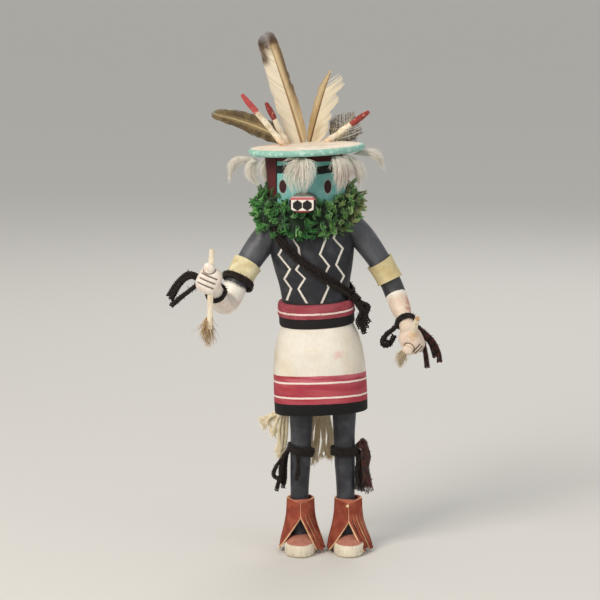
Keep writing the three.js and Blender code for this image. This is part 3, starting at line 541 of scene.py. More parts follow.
def foot_rings(side):
    """A flat sole, an upright rand with a rounded edge, and a domed top set in from it."""
    rand = FOOT["rand"]
    levels = [
        [0, 0.93, 0], [0.5, 0.965, 0], [1.4, 0.988, 0], [3.5, 1, 0], [rand - 1.4, 0.985, 0],
        [rand - 0.5, 0.955, 0], [rand, 0.9, 0], [rand + 0.25, 0.86, 0], [rand + 1, 0.8, 0.6],
        [rand + 2, 0.68, 2], [rand + 2.8, 0.52, 4], [rand + 3.2, 0.42, 5],
    ]
    rings = []
    for height, size, back in levels:
        ring = oval((0, 0, height), FOOT["width"] / 2, FOOT["length"] / 2, 56, 0, 2.3)
        heel = 1 - 0.26 * np.maximum(0, ring[:, 1] / (FOOT["length"] / 2))
        ring[:, 0] = FEET_MIDDLE + FOOT_PLACE[side] + ring[:, 0] * heel * size
        ring[:, 1] = FOOT["forward"] + back + ring[:, 1] * size
        rings.append(ring)
    return rings


charcoal = trunk_finish()
leg_paint = leg_finish()
moccasin_paint = moccasin_finish()
shells = [
    (*skin(rounded(TRUNK, ROLL, 2.25, 5)), charcoal),
    (*skin(rounded(SASH, ROLL, 2.25, pitch=SASH_PITCH)), sash_finish()),
    (*skin(rounded(KILT, kilt_roll, 2.35, pitch=kilt_pitch)), kilt_finish()),
    (*skin(rounded(MASK, ROLL, 2)), mask_finish()),
]
for side in (-1, 1):
    shells.append((*skin(leg_rings(side)), leg_paint))
    shells.append((*skin(foot_rings(side)), moccasin_paint))
figure = make_object("carved_figure", shells)
hand_over(figure, "painted_wood", "body")

# The snout: a short oval peg of wood let into the mask, with a mouth painted on its end.
SNOUT = {"width": 14.6, "height": 9.8, "level": 207.6, "yaw": 0.082}
SNOUT_RINGS = [[-17, 1.04], [-24, 1], [-30, 0.98], [-35.4, 1.06], [-36.8, 1.06], [-37.6, 1.02], [-38, 0.96]]
# The mouth's paint, from the middle of the snout's end: two dark holes, their sides, a red and a dark lip
MOUTH = {"hole_off": 2.75, "hole_size": 0.93, "sides": 6.3, "upper_lip": (2.1, 3.6), "lower_lip": -4}


def snout_finish():
    finish = Finish("snout paint", "e9e3da", 0.6)
    across = finish.x - (spine_x(SNOUT["level"]) - SNOUT["yaw"] * 38)
    up = finish.z - SNOUT["level"]
    for side in (-1, 1):
        off = abs(across - MOUTH["hole_off"] * side)
        far = (off * 0.36).math("MAXIMUM", abs(up + 1) * 0.3 + off * 0.2)
        finish.coat("1a1718", far.below(MOUTH["hole_size"], 0.05))
    finish.coat("1a1718", abs(across).above(MOUTH["sides"], 0.1) * up.below(2.4))
    finish.coat("bd6468", up.between(*MOUTH["upper_lip"]))
    finish.coat("8a2f36", up.below(MOUTH["lower_lip"], 0.1))
    shell = (finish.y.above(-36.9, 0.15) + up.above(3.9, 0.15)).math("MINIMUM", 1.0)
    # Behind its end and along its top the snout is grey turquoise; the grey-brown patches over that are
    # painted shadow from the down hanging above the snout.
    finish.coat("6f8079", shell)
    finish.coat("6a5f51", shell * finish.point.noise(3, 3).above(0.42, 0.14) * 0.8)
    return brush(finish, 0.5)


rings = []
for depth, size in SNOUT_RINGS:
    middle = (spine_x(SNOUT["level"]) + SNOUT["yaw"] * depth, 0, 0)
    ring = oval(middle, SNOUT["width"] / 2 * size, SNOUT["height"] / 2 * size, 48, 0, 2.4)
    rings.append(np.stack([ring[:, 0], np.full(48, float(depth)), SNOUT["level"] + ring[:, 1]], 1))
snout = make_object("painted_snout", [(*skin(rings), snout_finish())])
hand_over(snout, "snout_paint", "snout")

# The arms: whittled apart, pegged to the shoulders, sanded and painted; each ends in a closed hand that
# was carved as four fingers and a thumb round a stick. Grey down to the armband's edge, darker grey below it
# as painted shade under the band, then white.
RIGHT_ARM = [
    [-17.5, 0.5, 189, 8.2, 8.4], [-25.2, 0, 180, 7.9, 8.2], [-32.6, -4, 169.3, 7.2, 7.3],
    [-38, -9, 160, 6.9, 6.9], [-43.8, -14, 148.9, 6.8, 6.6], [-47.4, -24, 150.4, 6.3, 6.1],
    [-49.8, -33, 156.5, 4.5, 4.4], [-52.2, -40, 162.6, 5.2, 5],
]
LEFT_ARM = [
    [27, 0.5, 192, 7.2, 8], [34.4, 0.8, 183.5, 7.4, 7.9], [43.4, 1.5, 170.8, 6.6, 7.1],
    [49.8, 1, 158.9, 6.2, 6.8], [53.3, -1.5, 150.6, 6.1, 6.4], [56, -8, 143.6, 5.6, 5.8],
    [58.4, -15, 137.2, 4.3, 4.4], [60.4, -20.5, 131.5, 5.6, 5],
]
# Lines between the fingers: how they slope, how far each lies off the middle, and where they start and end
RIGHT_HAND = {
    "at": [-53.4, -43.5, 165], "turn": [0, 0.49, 0.15], "thumb": [-53, -46.9, 172.6],
    "slope": -0.42, "lines": [2.7, -0.15, -3], "run": [-6.2, 4.8],
}
LEFT_HAND = {
    "at": [61.6, -24, 127.4], "turn": [0.25, -0.42, -0.5], "thumb": [59, -29.4, 123],
    "slope": 0.82, "lines": [-4.1, -5.8, -7.5, -9.1], "run": [-4.6, 3],
}
FIST = {"half_sizes": [6.7, 5.4, 7.8], "squareness": 2.9}
THUMB = {"half_sizes": [3.5, 2.6, 2.5], "squareness": 2.1, "turn": [0, 0.5, 0], "ring": 3.9}
ARMBAND_EDGE = 2.2  # where along an arm, under the band, the grey turns darker as painted shade
CUFF_EDGE = {"right": 3.25, "left": 3.95}  # and where the white begins
STICK_GLUE = (62, 131.6)
FOREARM_SMUDGE = {"from": 58.5, "stations": (4.3, 5.6)}
HAND_REACH = [9.5, 9, 11]  # half sizes of the space round a fist's middle that counts as hand
GROOVE = 0.5  # half width and depth of the cut between two fingers
CARVING_FINENESS = 0.44  # size of the finest carved detail that the hands keep


def turned(points, turn):
    """Points turned about X, then Y, then Z of their own axes."""
    (cx, cy, cz), (sx, sy, sz) = np.cos(turn), np.sin(turn)
    about_x = np.array([[1, 0, 0], [0, cx, -sx], [0, sx, cx]])
    about_y = np.array([[cy, 0, sy], [0, 1, 0], [-sy, 0, cy]])
    about_z = np.array([[cz, -sz, 0], [sz, cz, 0], [0, 0, 1]])
    return np.asarray(points) @ (about_x @ about_y @ about_z).T


def ball(half, squareness=2.4, sides=24, rows=14):
    """A rounded block about the origin."""
    rings = []
    for tilt in np.linspace(-np.pi / 2, np.pi / 2, rows + 1)[1:-1]:
        level = abs(math.sin(tilt)) ** (2 / squareness) * math.copysign(1, tilt) * half[2]
        size = math.cos(tilt) ** (2 / squareness)
        rings.append(oval((0, 0, level), half[0] * size, half[1] * size, sides, 0, squareness))
    return skin(rings, ([0, 0, -half[2]], [0, 0, half[2]]))


def unit(vectors):
    vectors = np.asarray(vectors, float)
    return vectors / np.linalg.norm(vectors, axis=-1, keepdims=True)


def cut_frames(path):
    """Tangent, across and deep directions along a limb's path."""
    tangent = unit(np.gradient(path, axis=0))
    across = unit(np.array([1.0, 0, 0]) - tangent * tangent[:, :1])
    return tangent, across, np.cross(tangent, across)


def ring_about(centre, across, deep, wide, thick, angle):
    """Points round a centre, `wide` of it along one direction and `thick` of it along the other."""
    return centre + np.outer(wide * np.cos(angle), across) + np.outer(thick * np.sin(angle), deep)


def limb(stations, steps=8, sides=32, dome=0.55):
    """A limb through stations of place, half width and half depth, with a rounded end each way."""
    rows = smooth_rows(stations, steps)
    tangent, *ways = cut_frames(rows[:, :3])
    rings = [ring_about(row[:3], across, deep, row[3], row[4], full_turn(sides))
             for row, across, deep in zip(rows, *ways)]
    ends = [rows[k, :3] + way * tangent[k] * dome * rows[k, 3] for k, way in ((0, -1), (-1, 1))]
    return skin(rings, ends)


def hand_shells(hand):
    """A closed fist as one rounded block, and the tip of a thumb."""
    for block, turn, place in ((FIST, hand["turn"], hand["at"]), (THUMB, THUMB["turn"], hand["thumb"])):
        points, faces = ball(block["half_sizes"], block["squareness"])
        yield turned(points, turn) + np.array(place), faces


def groove_depth(places, hand):
    """1 along the cuts between the fingers and round the thumb, 0 away from them."""
    away = places - np.array(hand["at"])
    along = away[:, 0] * math.cos(hand["slope"]) + away[:, 2] * math.sin(hand["slope"])
    off = away[:, 2] * math.cos(hand["slope"]) - away[:, 0] * math.sin(hand["slope"])
    low, high = hand["run"]
    ends = np.clip((along - low) / 0.8, 0, 1) * np.clip((high - along) / 0.8, 0, 1)
    depth = np.zeros(len(places))
    for line in hand["lines"]:
        depth = np.maximum(depth, np.clip(1.3 - np.abs(off - line) / GROOVE, 0, 1) * ends)
    from_thumb = np.linalg.norm(places - np.array(hand["thumb"]), axis=1)
    depth = np.maximum(depth, np.clip(1.2 - np.abs(from_thumb - THUMB["ring"]) / GROOVE, 0, 1) * 0.8)
    return depth * (away[:, 1] < 1)


def evaluated_mesh(made):
    """The object's mesh with its modifiers applied, and the modifiers gone."""
    graph = bpy.context.evaluated_depsgraph_get()
    plain = bpy.data.meshes.new_from_object(
        made.evaluated_get(graph), preserve_all_data_layers=True, depsgraph=graph)
    made.modifiers.clear()
    made.data = plain
    return made


def add_attribute(mesh, name, values):
    mesh.attributes.new(name, "FLOAT", "POINT").data.foreach_set("value", np.asarray(values, float).ravel())


def arm_finish(name, last, stain):
    """Paint along the arm: grey to the armband, darker grey below its edge as painted shade under the band,
    white to the wrist, flesh-washed creases on the hand.
    """
    finish = Finish(name, "44464c", 0.5, 0.55)
    finish.coat("64666d", finish.point.noise(9, 4, seed=2.0).above(0.55, 0.14) * 0.5)
    along = finish.attribute("along") + (finish.point.noise(3) - 0.5) * 0.06
    # Below the band's edge the grey is darker: painted shade under the band.
    finish.coat("303136", along.above(ARMBAND_EDGE, 0.03))
    white = along.above(last, 0.03)
    finish.coat("eeeadf", white)
    finish.coat("d2c8b6", white * finish.point.noise(7, 3, seed=5.0).above(0.56, 0.14) * 0.3)
    if stain:
        finish.coat("c6a47c", along.above(last + 0.4, 0.3) * 0.4)
        where = finish.x.above(FOREARM_SMUDGE["from"], 1.2) * along.between(*FOREARM_SMUDGE["stations"], 0.2)
        finish.coat("b5684c", where * finish.point.noise(2.6, 4).above(0.46, 0.08) * 0.8)
        from_glue = abs(finish.x - STICK_GLUE[0]) + abs(finish.z - STICK_GLUE[1])
        glue = from_glue.below(3.2, 1.6) * finish.y.below(-24)
        finish.coat("b8924f", glue * finish.point.noise(2, 2).above(0.4, 0.15) * 0.75)
    flesh = along.above(last + 0.4, 0.3) * finish.point.noise(3, 3, seed=4.0).above(0.5, 0.2)
    finish.coat("dcb0a2", flesh * 0.4)
    finish.coat("4e342b", finish.attribute("groove").above(0.45, 0.3) * 0.9)
    return brush(finish, 0.7)


def carved_arm(side, stations, hand, finish):
    shells = [limb(stations), *hand_shells(hand)]
    arm = make_object("carved_arm_" + side, [(*shell, finish) for shell in shells])
    arm.modifiers.new("carving", "REMESH").voxel_size = CARVING_FINENESS * MM
    soften = arm.modifiers.new("sanding", "SMOOTH")
    soften.iterations = 2
    mesh = evaluated_mesh(arm).data
    mesh.polygons.foreach_set("use_smooth", [True] * len(mesh.polygons))
    places = np.empty(len(mesh.vertices) * 3)
    mesh.vertices.foreach_get("co", places)
    places = places.reshape(-1, 3) / MM - SHIFT
    steps = 12
    path = smooth_rows(stations, steps)[:, :3]
    near = np.linalg.norm(places[:, None] - path[None], axis=2).argmin(1) / steps
    on_hand = np.linalg.norm((places - np.array(hand["at"])) / HAND_REACH, axis=1) < 1
    add_attribute(mesh, "along", np.where(on_hand, len(stations) - 1, near))
    groove = groove_depth(places, hand) * on_hand
    add_attribute(mesh, "groove", groove)
    normals = np.empty(len(places) * 3)
    mesh.vertex_normals.foreach_get("vector", normals)
    places = places - normals.reshape(-1, 3) * groove[:, None] * GROOVE
    mesh.vertices.foreach_set("co", placed(places).ravel())
    hand_over(arm, "painted_wood", "arm_" + side)


for side, stations, hand in (("right", RIGHT_ARM, RIGHT_HAND), ("left", LEFT_ARM, LEFT_HAND)):
    carved_arm(side, stations, hand, arm_finish(side + " arm paint", CUFF_EDGE[side], side == "left"))

# The crown disc: a thin slab of wood glued flat on the head, its top chalk white under a thin pink
# wash, its rounded rim turquoise. A blob of brown glue holds the pegs.
DISC = {"diameter": 67, "thickness": 3.8, "offset": 1.6, "gap": 0.3, "sides": 96, "paint_from": 31.7}
GLUE_BLOB = (-10.6, 12)
CROWN_HEIGHT = 233
CROWN_X = spine_x(CROWN_HEIGHT)


def disc_finish():
    finish = Finish("disc paint", "e9e0d0", 0.8)
    finish.coat("dfc0ad", finish.point.noise(9, 4, (0.35, 1.2, 1)).above(0.52, 0.14) * 0.65)
    finish.coat("c9b49a", finish.point.noise(3, 4, (0.4, 1, 1), 3.0).above(0.58, 0.1) * 0.5)
    x, y = finish.x - (CROWN_X + DISC["offset"]), finish.y
    radius = (x * x + y * y).math("SQRT") + (finish.point.noise(5) - 0.5) * 1.4
    top = CROWN_HEIGHT + DISC["gap"] + DISC["thickness"]
    height = finish.z - (finish.x - CROWN_X) * ROLL
    outer = radius.above(DISC["paint_from"], 0.25)
    finish.coat("8cbcae", (outer + height.below(top - 0.7)).math("MINIMUM", 1.0))
    finish.coat("bfe0d2", outer * finish.point.noise(3, 3, seed=4.0).above(0.58, 0.08) * 0.7)
    from_glue = abs(finish.x - GLUE_BLOB[0]) + abs(finish.y - GLUE_BLOB[1])
    finish.coat("a8713f", from_glue.below(4.5, 1) * finish.point.noise(2).above(0.4, 0.1) * 0.85)
    return brush(finish)


def disc_rings():
    centre_x = CROWN_X + DISC["offset"]
    base = CROWN_HEIGHT + ROLL * (centre_x - CROWN_X) + DISC["gap"]
    half = DISC["thickness"] / 2
    levels = [(0, 12)]
    for turn in np.linspace(-np.pi / 2, np.pi / 2, 9):
        levels.append((half + half * math.sin(turn), DISC["diameter"] / 2 - half + half * math.cos(turn)))
    levels.append((2 * half, 12))
    rings = [oval((centre_x, 0, base + level), radius, radius, DISC["sides"], ROLL, 2)
             for level, radius in levels]
    angle = full_turn(DISC["sides"])
    knife = 0.25 * np.sin(5 * angle + 1) + 0.2 * np.sin(11 * angle)
    for ring in rings[1:-1]:
        ring[:, 0] += knife * np.cos(angle)
        ring[:, 1] += knife * np.sin(angle)
    return rings


disc = make_object("painted_disc", [(*skin(disc_rings()), disc_finish())])
hand_over(disc, "disc_paint", "crown_disc")

# The pegs on the disc: knobbly twigs, whittled to a blunt tip, chalked white with a red end.
CROWN_PEGS = {
    "crown_stick_outer": [[-11, 14], [-24.7, -8, 30.8], 0.66, "b9504e"],
    "crown_stick_inner": [[-9.6, 22], [-12.4, -4, 25.2], 0.62, "83332f"],
    "crown_stick_left": [[11.5, 25], [26.3, -5, 19.1], 0.6, "8e3a34"],
}
PEG_WIDTH = 3.1
PEG_KNOBS = [1.1, 1.3, 0.98, 1.16, 0.98, 1.12, 1.08, 0.66]


def disc_foot(foot):
    """Where a thing that stands on the disc starts, sunk a little into it."""
    top = CROWN_HEIGHT + ROLL * (foot[0] - CROWN_X) + DISC["gap"] + DISC["thickness"]
    return np.array([foot[0], foot[1], top - 1])


def peg_finish(name, red_from, red):
    finish = Finish(name, "e9e0cb", 0.82)
    along = finish.attribute("along") + (finish.point.noise(2) - 0.5) * 0.05
    finish.coat("c9b48c", finish.point.noise(2.2, 4, seed=2.0).above(0.56, 0.08) * 0.7)
    finish.coat("c3884f", along.below(0.16, 0.05) * finish.point.noise(1.6, 3).above(0.48, 0.1) * 0.6)
    finish.coat(red, along.above(red_from, 0.02))
    finish.coat("d3a08c", along.above(red_from, 0.02) * finish.point.noise(1.6, 3).above(0.6, 0.06) * 0.5)
    return brush(finish)


def whittled(start, end, width, knobs, seed, sides=20):
    """Rings along a whittled stick, a little crooked and faceted."""
    draw = np.random.default_rng(seed)
    last = len(knobs) - 1
    along = unit(end - start)
    across = unit(np.cross([0, 1, 0], along))
    deep = np.cross(along, across)
    rows = smooth_rows([[k / last, size, *draw.normal(0, 0.12, 2)] for k, size in enumerate(knobs)], 5)
    angle = full_turn(sides)
    facets = 1 + 0.05 * np.cos(3 * angle + 1) + 0.04 * np.cos(5 * angle)
    rings = []
    for part, size, bend_x, bend_y in rows:
        centre = start + (end - start) * part + across * bend_x + deep * bend_y
        reach = width / 2 * size * facets
        rings.append(ring_about(centre, across, deep, reach, reach, angle))
    return rings, rows[:, 0]


def stick_object(name, start, end, width, knobs, finish, seed):
    rings, run = whittled(start, end, width, knobs, seed)
    stick = make_object(name, [(*skin(rings), finish)])
    add_attribute(stick.data, "along", [*np.repeat(run, len(rings[0])), 0, 1])
    return stick


for number, (node, (foot, run, red_from, red)) in enumerate(CROWN_PEGS.items()):
    start = disc_foot(foot)
    peg = stick_object(node + "_painted", start, start + np.array(run), PEG_WIDTH, PEG_KNOBS,
                       peg_finish(node + " paint", red_from, red), number)
    hand_over(peg, "whittled_stick", node)

# The sticks in the hands: straight whittled rods through the fists, chalked white, ends left bare.
HAND_STICKS = {
    "hand_stick_right": [[-51.7, -45.3, 182.6], [-53.2, -43.6, 137.5]],
    "hand_stick_left": [[64.3, -35, 142.2], [59.2, -17.4, 120]],
}
STICK_WIDTH = 3.2
STICK_KNOBS = [0.9, 1, 1.02, 0.98, 1.03, 1, 0.97, 0.92]
finish = Finish("chalked stick", "e6dcc6", 0.8)
finish.coat("b8946c", finish.attribute("along").below(0.03, 0.015) * finish.x.above(0))
finish.coat("cdbb98", finish.point.noise(2, 4, (1, 1, 0.3)).above(0.55, 0.1) * 0.7)
chalked = brush(finish)
for number, (node, (top, bottom)) in enumerate(HAND_STICKS.items()):
    rod = stick_object(node + "_chalked", np.array(top), np.array(bottom), STICK_WIDTH, STICK_KNOBS,
                       chalked, 10 + number)
    hand_over(rod, "whittled_stick", node)

# The flat feathers: a tall wing feather, a broken one, a brown one and a short speckled one, their
# quills glued on the disc. Each has a quill and separate barbs that lie side by side.
BARB_PITCH = 0.27
BARB_WIDTH = 0.36
BARB_POINTS = 7
BARBS_IN_CLUMP = 14
BARB_SLANT = math.radians(36)
# Each feather's foot on the disc, its way, length and bow, its quill's width, how frayed its edge is, how
# rounded its tip; then its reach to either side, by its length, from the foot to the tip
FEATHERS = {
    "feather_tall": {
        "foot": [-1, 28], "way": [-21.2, -6, 64.9], "length": 67.4, "bow": 0.6, "quill": 1.7,
        "fray": 0.9, "dome": 0.09,
        "left": [0.09, 0.115, 0.12, 0.122, 0.121, 0.12, 0.114, 0.108, 0.098, 0.09],
        "right": [0.04, 0.065, 0.072, 0.075, 0.07, 0.068, 0.068, 0.072, 0.072, 0.07],
    },
    "feather_broken": {
        "foot": [3.4, 29], "way": [11.6, -5, 40.1], "length": 44.5, "bow": -0.5, "quill": 1.3,
        "fray": 2.2, "dome": 0.03,
        "left": [0.035, 0.06, 0.075, 0.08, 0.085, 0.085, 0.08, 0.05, 0.01],
        "right": [0.1, 0.15, 0.18, 0.17, 0.165, 0.21, 0.17, 0.2, 0.17],
    },
    "feather_brown": {
        "foot": [-6.6, 30.5], "way": [-46.9, 0.5, 17.8], "length": 50, "bow": 2.2, "quill": 1.4,
        "fray": 1.4, "dome": 0.16,
        "left": [0.03, 0.07, 0.11, 0.115, 0.1, 0.085, 0.07, 0.06],
        "right": [0.03, 0.08, 0.12, 0.125, 0.12, 0.105, 0.085, 0.07],
    },
    "feather_speckled": {
        "foot": [18.6, 30], "way": [12.8, 3, 19], "length": 20.5, "bow": 0, "quill": 0.7,
        "fray": 4.5, "dome": 0.4,
        "left": [0.14, 0.36, 0.46, 0.44, 0.34, 0.16],
        "right": [0.14, 0.4, 0.5, 0.46, 0.34, 0.14],
    },
}


def strand_tree():
    """Geometry Nodes: each path in a wire mesh becomes a closed round strand."""
    tree = bpy.data.node_groups.new("Strands along paths", "GeometryNodeTree")
    for name, kind in (("Paths", "Geometry"), ("Sides", "Int"), ("Material", "Material")):
        tree.interface.new_socket(name, in_out="INPUT", socket_type="NodeSocket" + kind)
    tree.interface.new_socket("Strands", in_out="OUTPUT", socket_type="NodeSocketGeometry")
    entry = tree.nodes.new("NodeGroupInput").outputs
    width = add_node(tree, "GeometryNodeInputNamedAttribute", {"Name": "half_width"}, data_type="FLOAT")
    paths = add_node(tree, "GeometryNodeMeshToCurve", {"Mesh": entry["Paths"]})
    ring = add_node(tree, "GeometryNodeCurvePrimitiveCircle", {"Resolution": entry["Sides"], "Radius": 1.0})
    inputs = {"Curve": paths.outputs[0], "Profile Curve": ring.outputs[0], "Scale": width.outputs[0]}
    tubes = add_node(tree, "GeometryNodeCurveToMesh", {**inputs, "Fill Caps": True})
    smooth = add_node(tree, "GeometryNodeSetShadeSmooth", {"Geometry": tubes.outputs[0]})
    real = add_node(tree, "GeometryNodeRealizeInstances", {"Geometry": smooth.outputs[0]})
    inputs = {"Geometry": real.outputs[0], "Material": entry["Material"]}
    coated = add_node(tree, "GeometryNodeSetMaterial", inputs)
    leaving = tree.nodes.new("NodeGroupOutput")
    tree.links.new(coated.outputs[0], leaving.inputs[0])
    return tree


STRANDS = strand_tree()


def grow(made, tree, values):
    """Runs a Geometry Nodes tree on an object and keeps the plain mesh."""
    modifier = made.modifiers.new(tree.name, "NODES")
    modifier.node_group = tree
    for item in tree.interface.items_tree:
        if item.in_out == "INPUT" and item.name in values:
            modifier[item.identifier] = values[item.name]
    return evaluated_mesh(made)


def bundle(points, half_width, shade=0.5, along=0.0, out=0.0):
    """Strands with as many points each, and what their finish reads along them."""
    points = np.asarray(points, float)
    points = points[None] if points.ndim == 2 else points
    marks = {"half_width": half_width, "shade": shade, "along": along, "out": out}
    marks = {name: np.broadcast_to(np.asarray(value, float), points.shape[:2])
             for name, value in marks.items()}
    return {"points": points, **marks}


def draw_strands(name, bundles, material, sides=4):
    """One object of many strands."""
    edges, start = [], 0
    for strands in bundles:
        count, length = strands["points"].shape[:2]
        first = start + np.arange(count)[:, None] * length + np.arange(length - 1)[None]
        edges.append(np.stack([first, first + 1], -1).reshape(-1, 2))
        start += count * length
    mesh = bpy.data.meshes.new(name)
    mesh.vertices.add(start)
    points = np.vstack([strands["points"].reshape(-1, 3) for strands in bundles])
    mesh.vertices.foreach_set("co", placed(points).ravel())
    edges = np.vstack(edges)
    mesh.edges.add(len(edges))
    mesh.edges.foreach_set("vertices", edges.ravel())
    for mark in ("half_width", "shade", "along", "out"):
        values = np.concatenate([strands[mark].ravel() for strands in bundles])
        add_attribute(mesh, mark, values * (MM if mark == "half_width" else 1))
    return grow(add_object(name, mesh), STRANDS, {"Sides": sides, "Material": material})


def quill_frame(shape):
    """Where a quill starts, and its directions along, across and out of the feather's face."""
    along = unit(shape["way"])
    across = unit(np.cross([0, 1, 0], along))
    return disc_foot(shape["foot"]), along, across, np.cross(across, along)


def quill_point(shape, part):
    """The middle of the quill at shares of its length."""
    start, along, across, _ = quill_frame(shape)
    bow = shape["bow"] * 4 * part * (1 - part)
    return start + part[..., None] * shape["length"] * along + bow[..., None] * across


def vane(shape, side, seed):
    """The barbs on one side of the quill, in small clumps that part a little at the edge."""
    draw = np.random.default_rng(seed)
    _, _, across, facing = quill_frame(shape)
    length = shape["length"]
    count = int(length / BARB_PITCH)
    ends = np.linspace(0.03, 1.02, count)
    reaches = np.array(shape["right" if side > 0 else "left"])
    reach = np.interp(ends, np.linspace(0, 1.02, len(reaches)), reaches) * length
    closing = np.clip((ends - (1.02 - shape["dome"])) / shape["dome"], 0, 1)
    reach = reach * np.sqrt(1.02 - closing ** 2.4)
    clump = np.floor(np.arange(count) / BARBS_IN_CLUMP + draw.normal(0, 0.3, count).cumsum() * 0.05)
    parting = draw.normal(0, 0.011, int(clump.max()) + 3)[clump.astype(int)] * shape["fray"]
    ragged = 1 + parting * 2.5 + draw.normal(0, 0.012, count) * shape["fray"]
    roots = np.clip(ends - reach / math.tan(BARB_SLANT) / length, 0, 1)
    run = np.linspace(0, 1, BARB_POINTS)[None]
    part = roots[:, None] + (ends + parting * 0.5 - roots)[:, None] * run ** 1.1
    points = quill_point(shape, np.clip(part, 0, 1.05))
    wide = side * (reach * ragged)[:, None] * run ** 0.92
    cup = 0.05 * reach[:, None] * run ** 2 + draw.normal(0, 0.05, (count, 1)) * run
    points = points + wide[..., None] * across - cup[..., None] * facing
    width = BARB_WIDTH / 2 * (1 - 0.45 * run ** 3)
    return bundle(points, width, draw.random((count, 1)), np.clip(part, 0, 1), side * run)


def quill(shape):
    part = np.linspace(0, 0.985, 24)
    width = shape["quill"] / 2 * (1 - 0.78 * part)
    return bundle(quill_point(shape, part), width, 0.5, part, 2.0)


def feather_finish(name, base, roughness=0.7):
    finish = Finish(name, base, roughness, 0.25)
    finish.shader.inputs["Sheen Weight"].default_value = 0.15
    return finish


def pale_feather(name, left, right, shaft, dark_tip):
    """Cream on one side of the quill and tan on the other, with a dark worn tip."""
    finish = feather_finish(name, "e3d9c4")
    along, out, shade = (finish.attribute(mark) for mark in ("along", "out", "shade"))
    finish.coat(left, out.below(-0.02, 0.02))
    finish.coat(right, out.between(0.02, 1.5, 0.02))
    if dark_tip:
        edge = out.below(-0.5, 0.25) * along.above(0.76, 0.04)
        finish.coat("553c2a", edge * 0.9)
        finish.coat("55412f", out.between(0.6, 1.5, 0.2) * along.above(0.4, 0.15) * 0.8)
        finish.coat("9c8664", along.above(0.84, 0.06) * finish.point.noise(2.4, 2).above(0.48, 0.1) * 0.6)
        finish.coat("d9c9a6", out.between(0.05, 0.35, 0.08) * along.below(0.9, 0.1) * 0.6)
        mottled = along + (finish.point.noise(2.0, 3) - 0.5) * 0.09
        finish.coat("4f3726", mottled.above(0.905, 0.03) * 0.92)
    else:
        finish.coat("b79d74", along.below(0.3, 0.15) * out.between(0.02, 0.5, 0.2) * 0.5)
        finish.coat("d9c8a4", out.between(-0.9, -0.3, 0.2) * along.above(0.45, 0.2) * 0.7)
    finish.coat(shaft, out.above(1.6, 0.1))
    finish.shade(shade * 0.28 + 0.86)
    return finish.done()


def brown_feather(name, pale, dark, specks, bars):
    """Olive brown barbs, barred or speckled."""
    finish = feather_finish(name, dark)
    along, out, shade = (finish.attribute(mark) for mark in ("along", "out", "shade"))
    finish.coat(pale, finish.point.noise(specks, 2, seed=3.0).above(0.52, 0.07) * 0.8)
    finish.coat("2b221a", finish.point.noise(specks * 0.9, 2, seed=8.0).above(0.6, 0.05) * bars)
    finish.coat("b39f78", abs(out).below(0.3, 0.15) * along.above(0.1, 0.1) * 0.45)
    finish.coat("d2bf93", out.above(1.6, 0.1))
    finish.shade(shade * 0.35 + 0.82)
    return finish.done()


feather_coats = {
    "feather_tall": pale_feather("tall feather", "e2d8c3", "b9a27c", "9c8058", True),
    "feather_broken": pale_feather("broken feather", "b2966a", "e6dcc4", "6f5133", False),
    "feather_brown": brown_feather("brown feather", "85734f", "63533a", 4.0, 0.3),
    "feather_speckled": brown_feather("speckled feather", "cfc3ab", "4f4233", 0.8, 0.8),
}
for number, (node, shape) in enumerate(FEATHERS.items()):
    strands = [vane(shape, -1, 20 + number), vane(shape, 1, 30 + number), quill(shape)]
    plume = draw_strands(node + "_barbs", strands, feather_coats[node])
    slot = "pale_feather" if node in ("feather_tall", "feather_broken") else "brown_feather"
    hand_over(plume, slot, node)

# The down: small loose breast feathers tied under the rim, white and soft, hanging over the mask and
# out past the disc. Each is a short quill with hundreds of fine curling barbs.
DOWN = {
    # each station: across, fore and aft, how far under the disc's rim, half width
    "down_right_outer": [[-27, -4, 0.4, 1.6], [-36, -4, 0.2, 2.4], [-41, -4, 3.4, 2.4], [-42.4, -4, 9.2, 1]],
    "down_right": [
        [-26.6, -10, 0.4, 2.2], [-30, -11, 3.4, 4.4], [-30.2, -12, 8.6, 4.2], [-27.4, -13, 13, 1.4]],
    "down_front": [[-2, -27, -0.6, 8], [-2.2, -32, 2.4, 9], [-3, -33.6, 10, 8], [-2.8, -33, 17.4, 4]],
    "down_left_front": [[17, -22, -0.4, 5], [20.6, -27, 3, 6.4], [22, -28.4, 10, 6], [20.6, -27.6, 17, 2.6]],
    "down_left": [[26, -14, 0.4, 2], [29.4, -16, 5, 4.4], [31.4, -17, 10, 3.8], [31.4, -17, 15.4, 1]],
    "down_left_outer": [[28, -4, 0.4, 1.6], [37.2, -4, 0, 2.6], [42.2, -4, 2.2, 2.8], [44.6, -4, 7, 1]],
    "down_back_right": [[-17, 20, 0.4, 2], [-20.6, 24, 5, 4.4], [-21.6, 25, 11, 4], [-21, 24, 17, 1]],
    "down_back": [[2, 26, 0.4, 2.4], [2, 31, 4, 5], [2, 32.6, 10, 4.6], [2, 32, 17, 1.4]],
    "down_back_left": [[20, 18, 0.4, 2], [24, 22.4, 5, 4.4], [25.4, 23.6, 11, 4], [25, 23, 17, 1]],
}
DOWN_BARBS = 400
DOWN_DROP = 1.4  # from the underside of the disc to the middle of the quill
DOWN_WIDTH = 0.15


def down_finish():
    finish = feather_finish("white down", "f8f4ea", 0.85)
    shade = finish.attribute("shade")
    finish.coat("cbbba3", shade.above(0.84, 0.1) * 0.6)
    finish.coat("d9c3b6", finish.x.between(14, 30, 2) * finish.attribute("along").above(0.5, 0.2) * 0.5)
    finish.shade(shade * 0.2 + 0.86)
    return finish.done()


def sampled(table, at, marks):
    """Rows of a table at places between the marks of its rows."""
    return np.stack([np.interp(at, marks, column) for column in np.transpose(table)], -1)


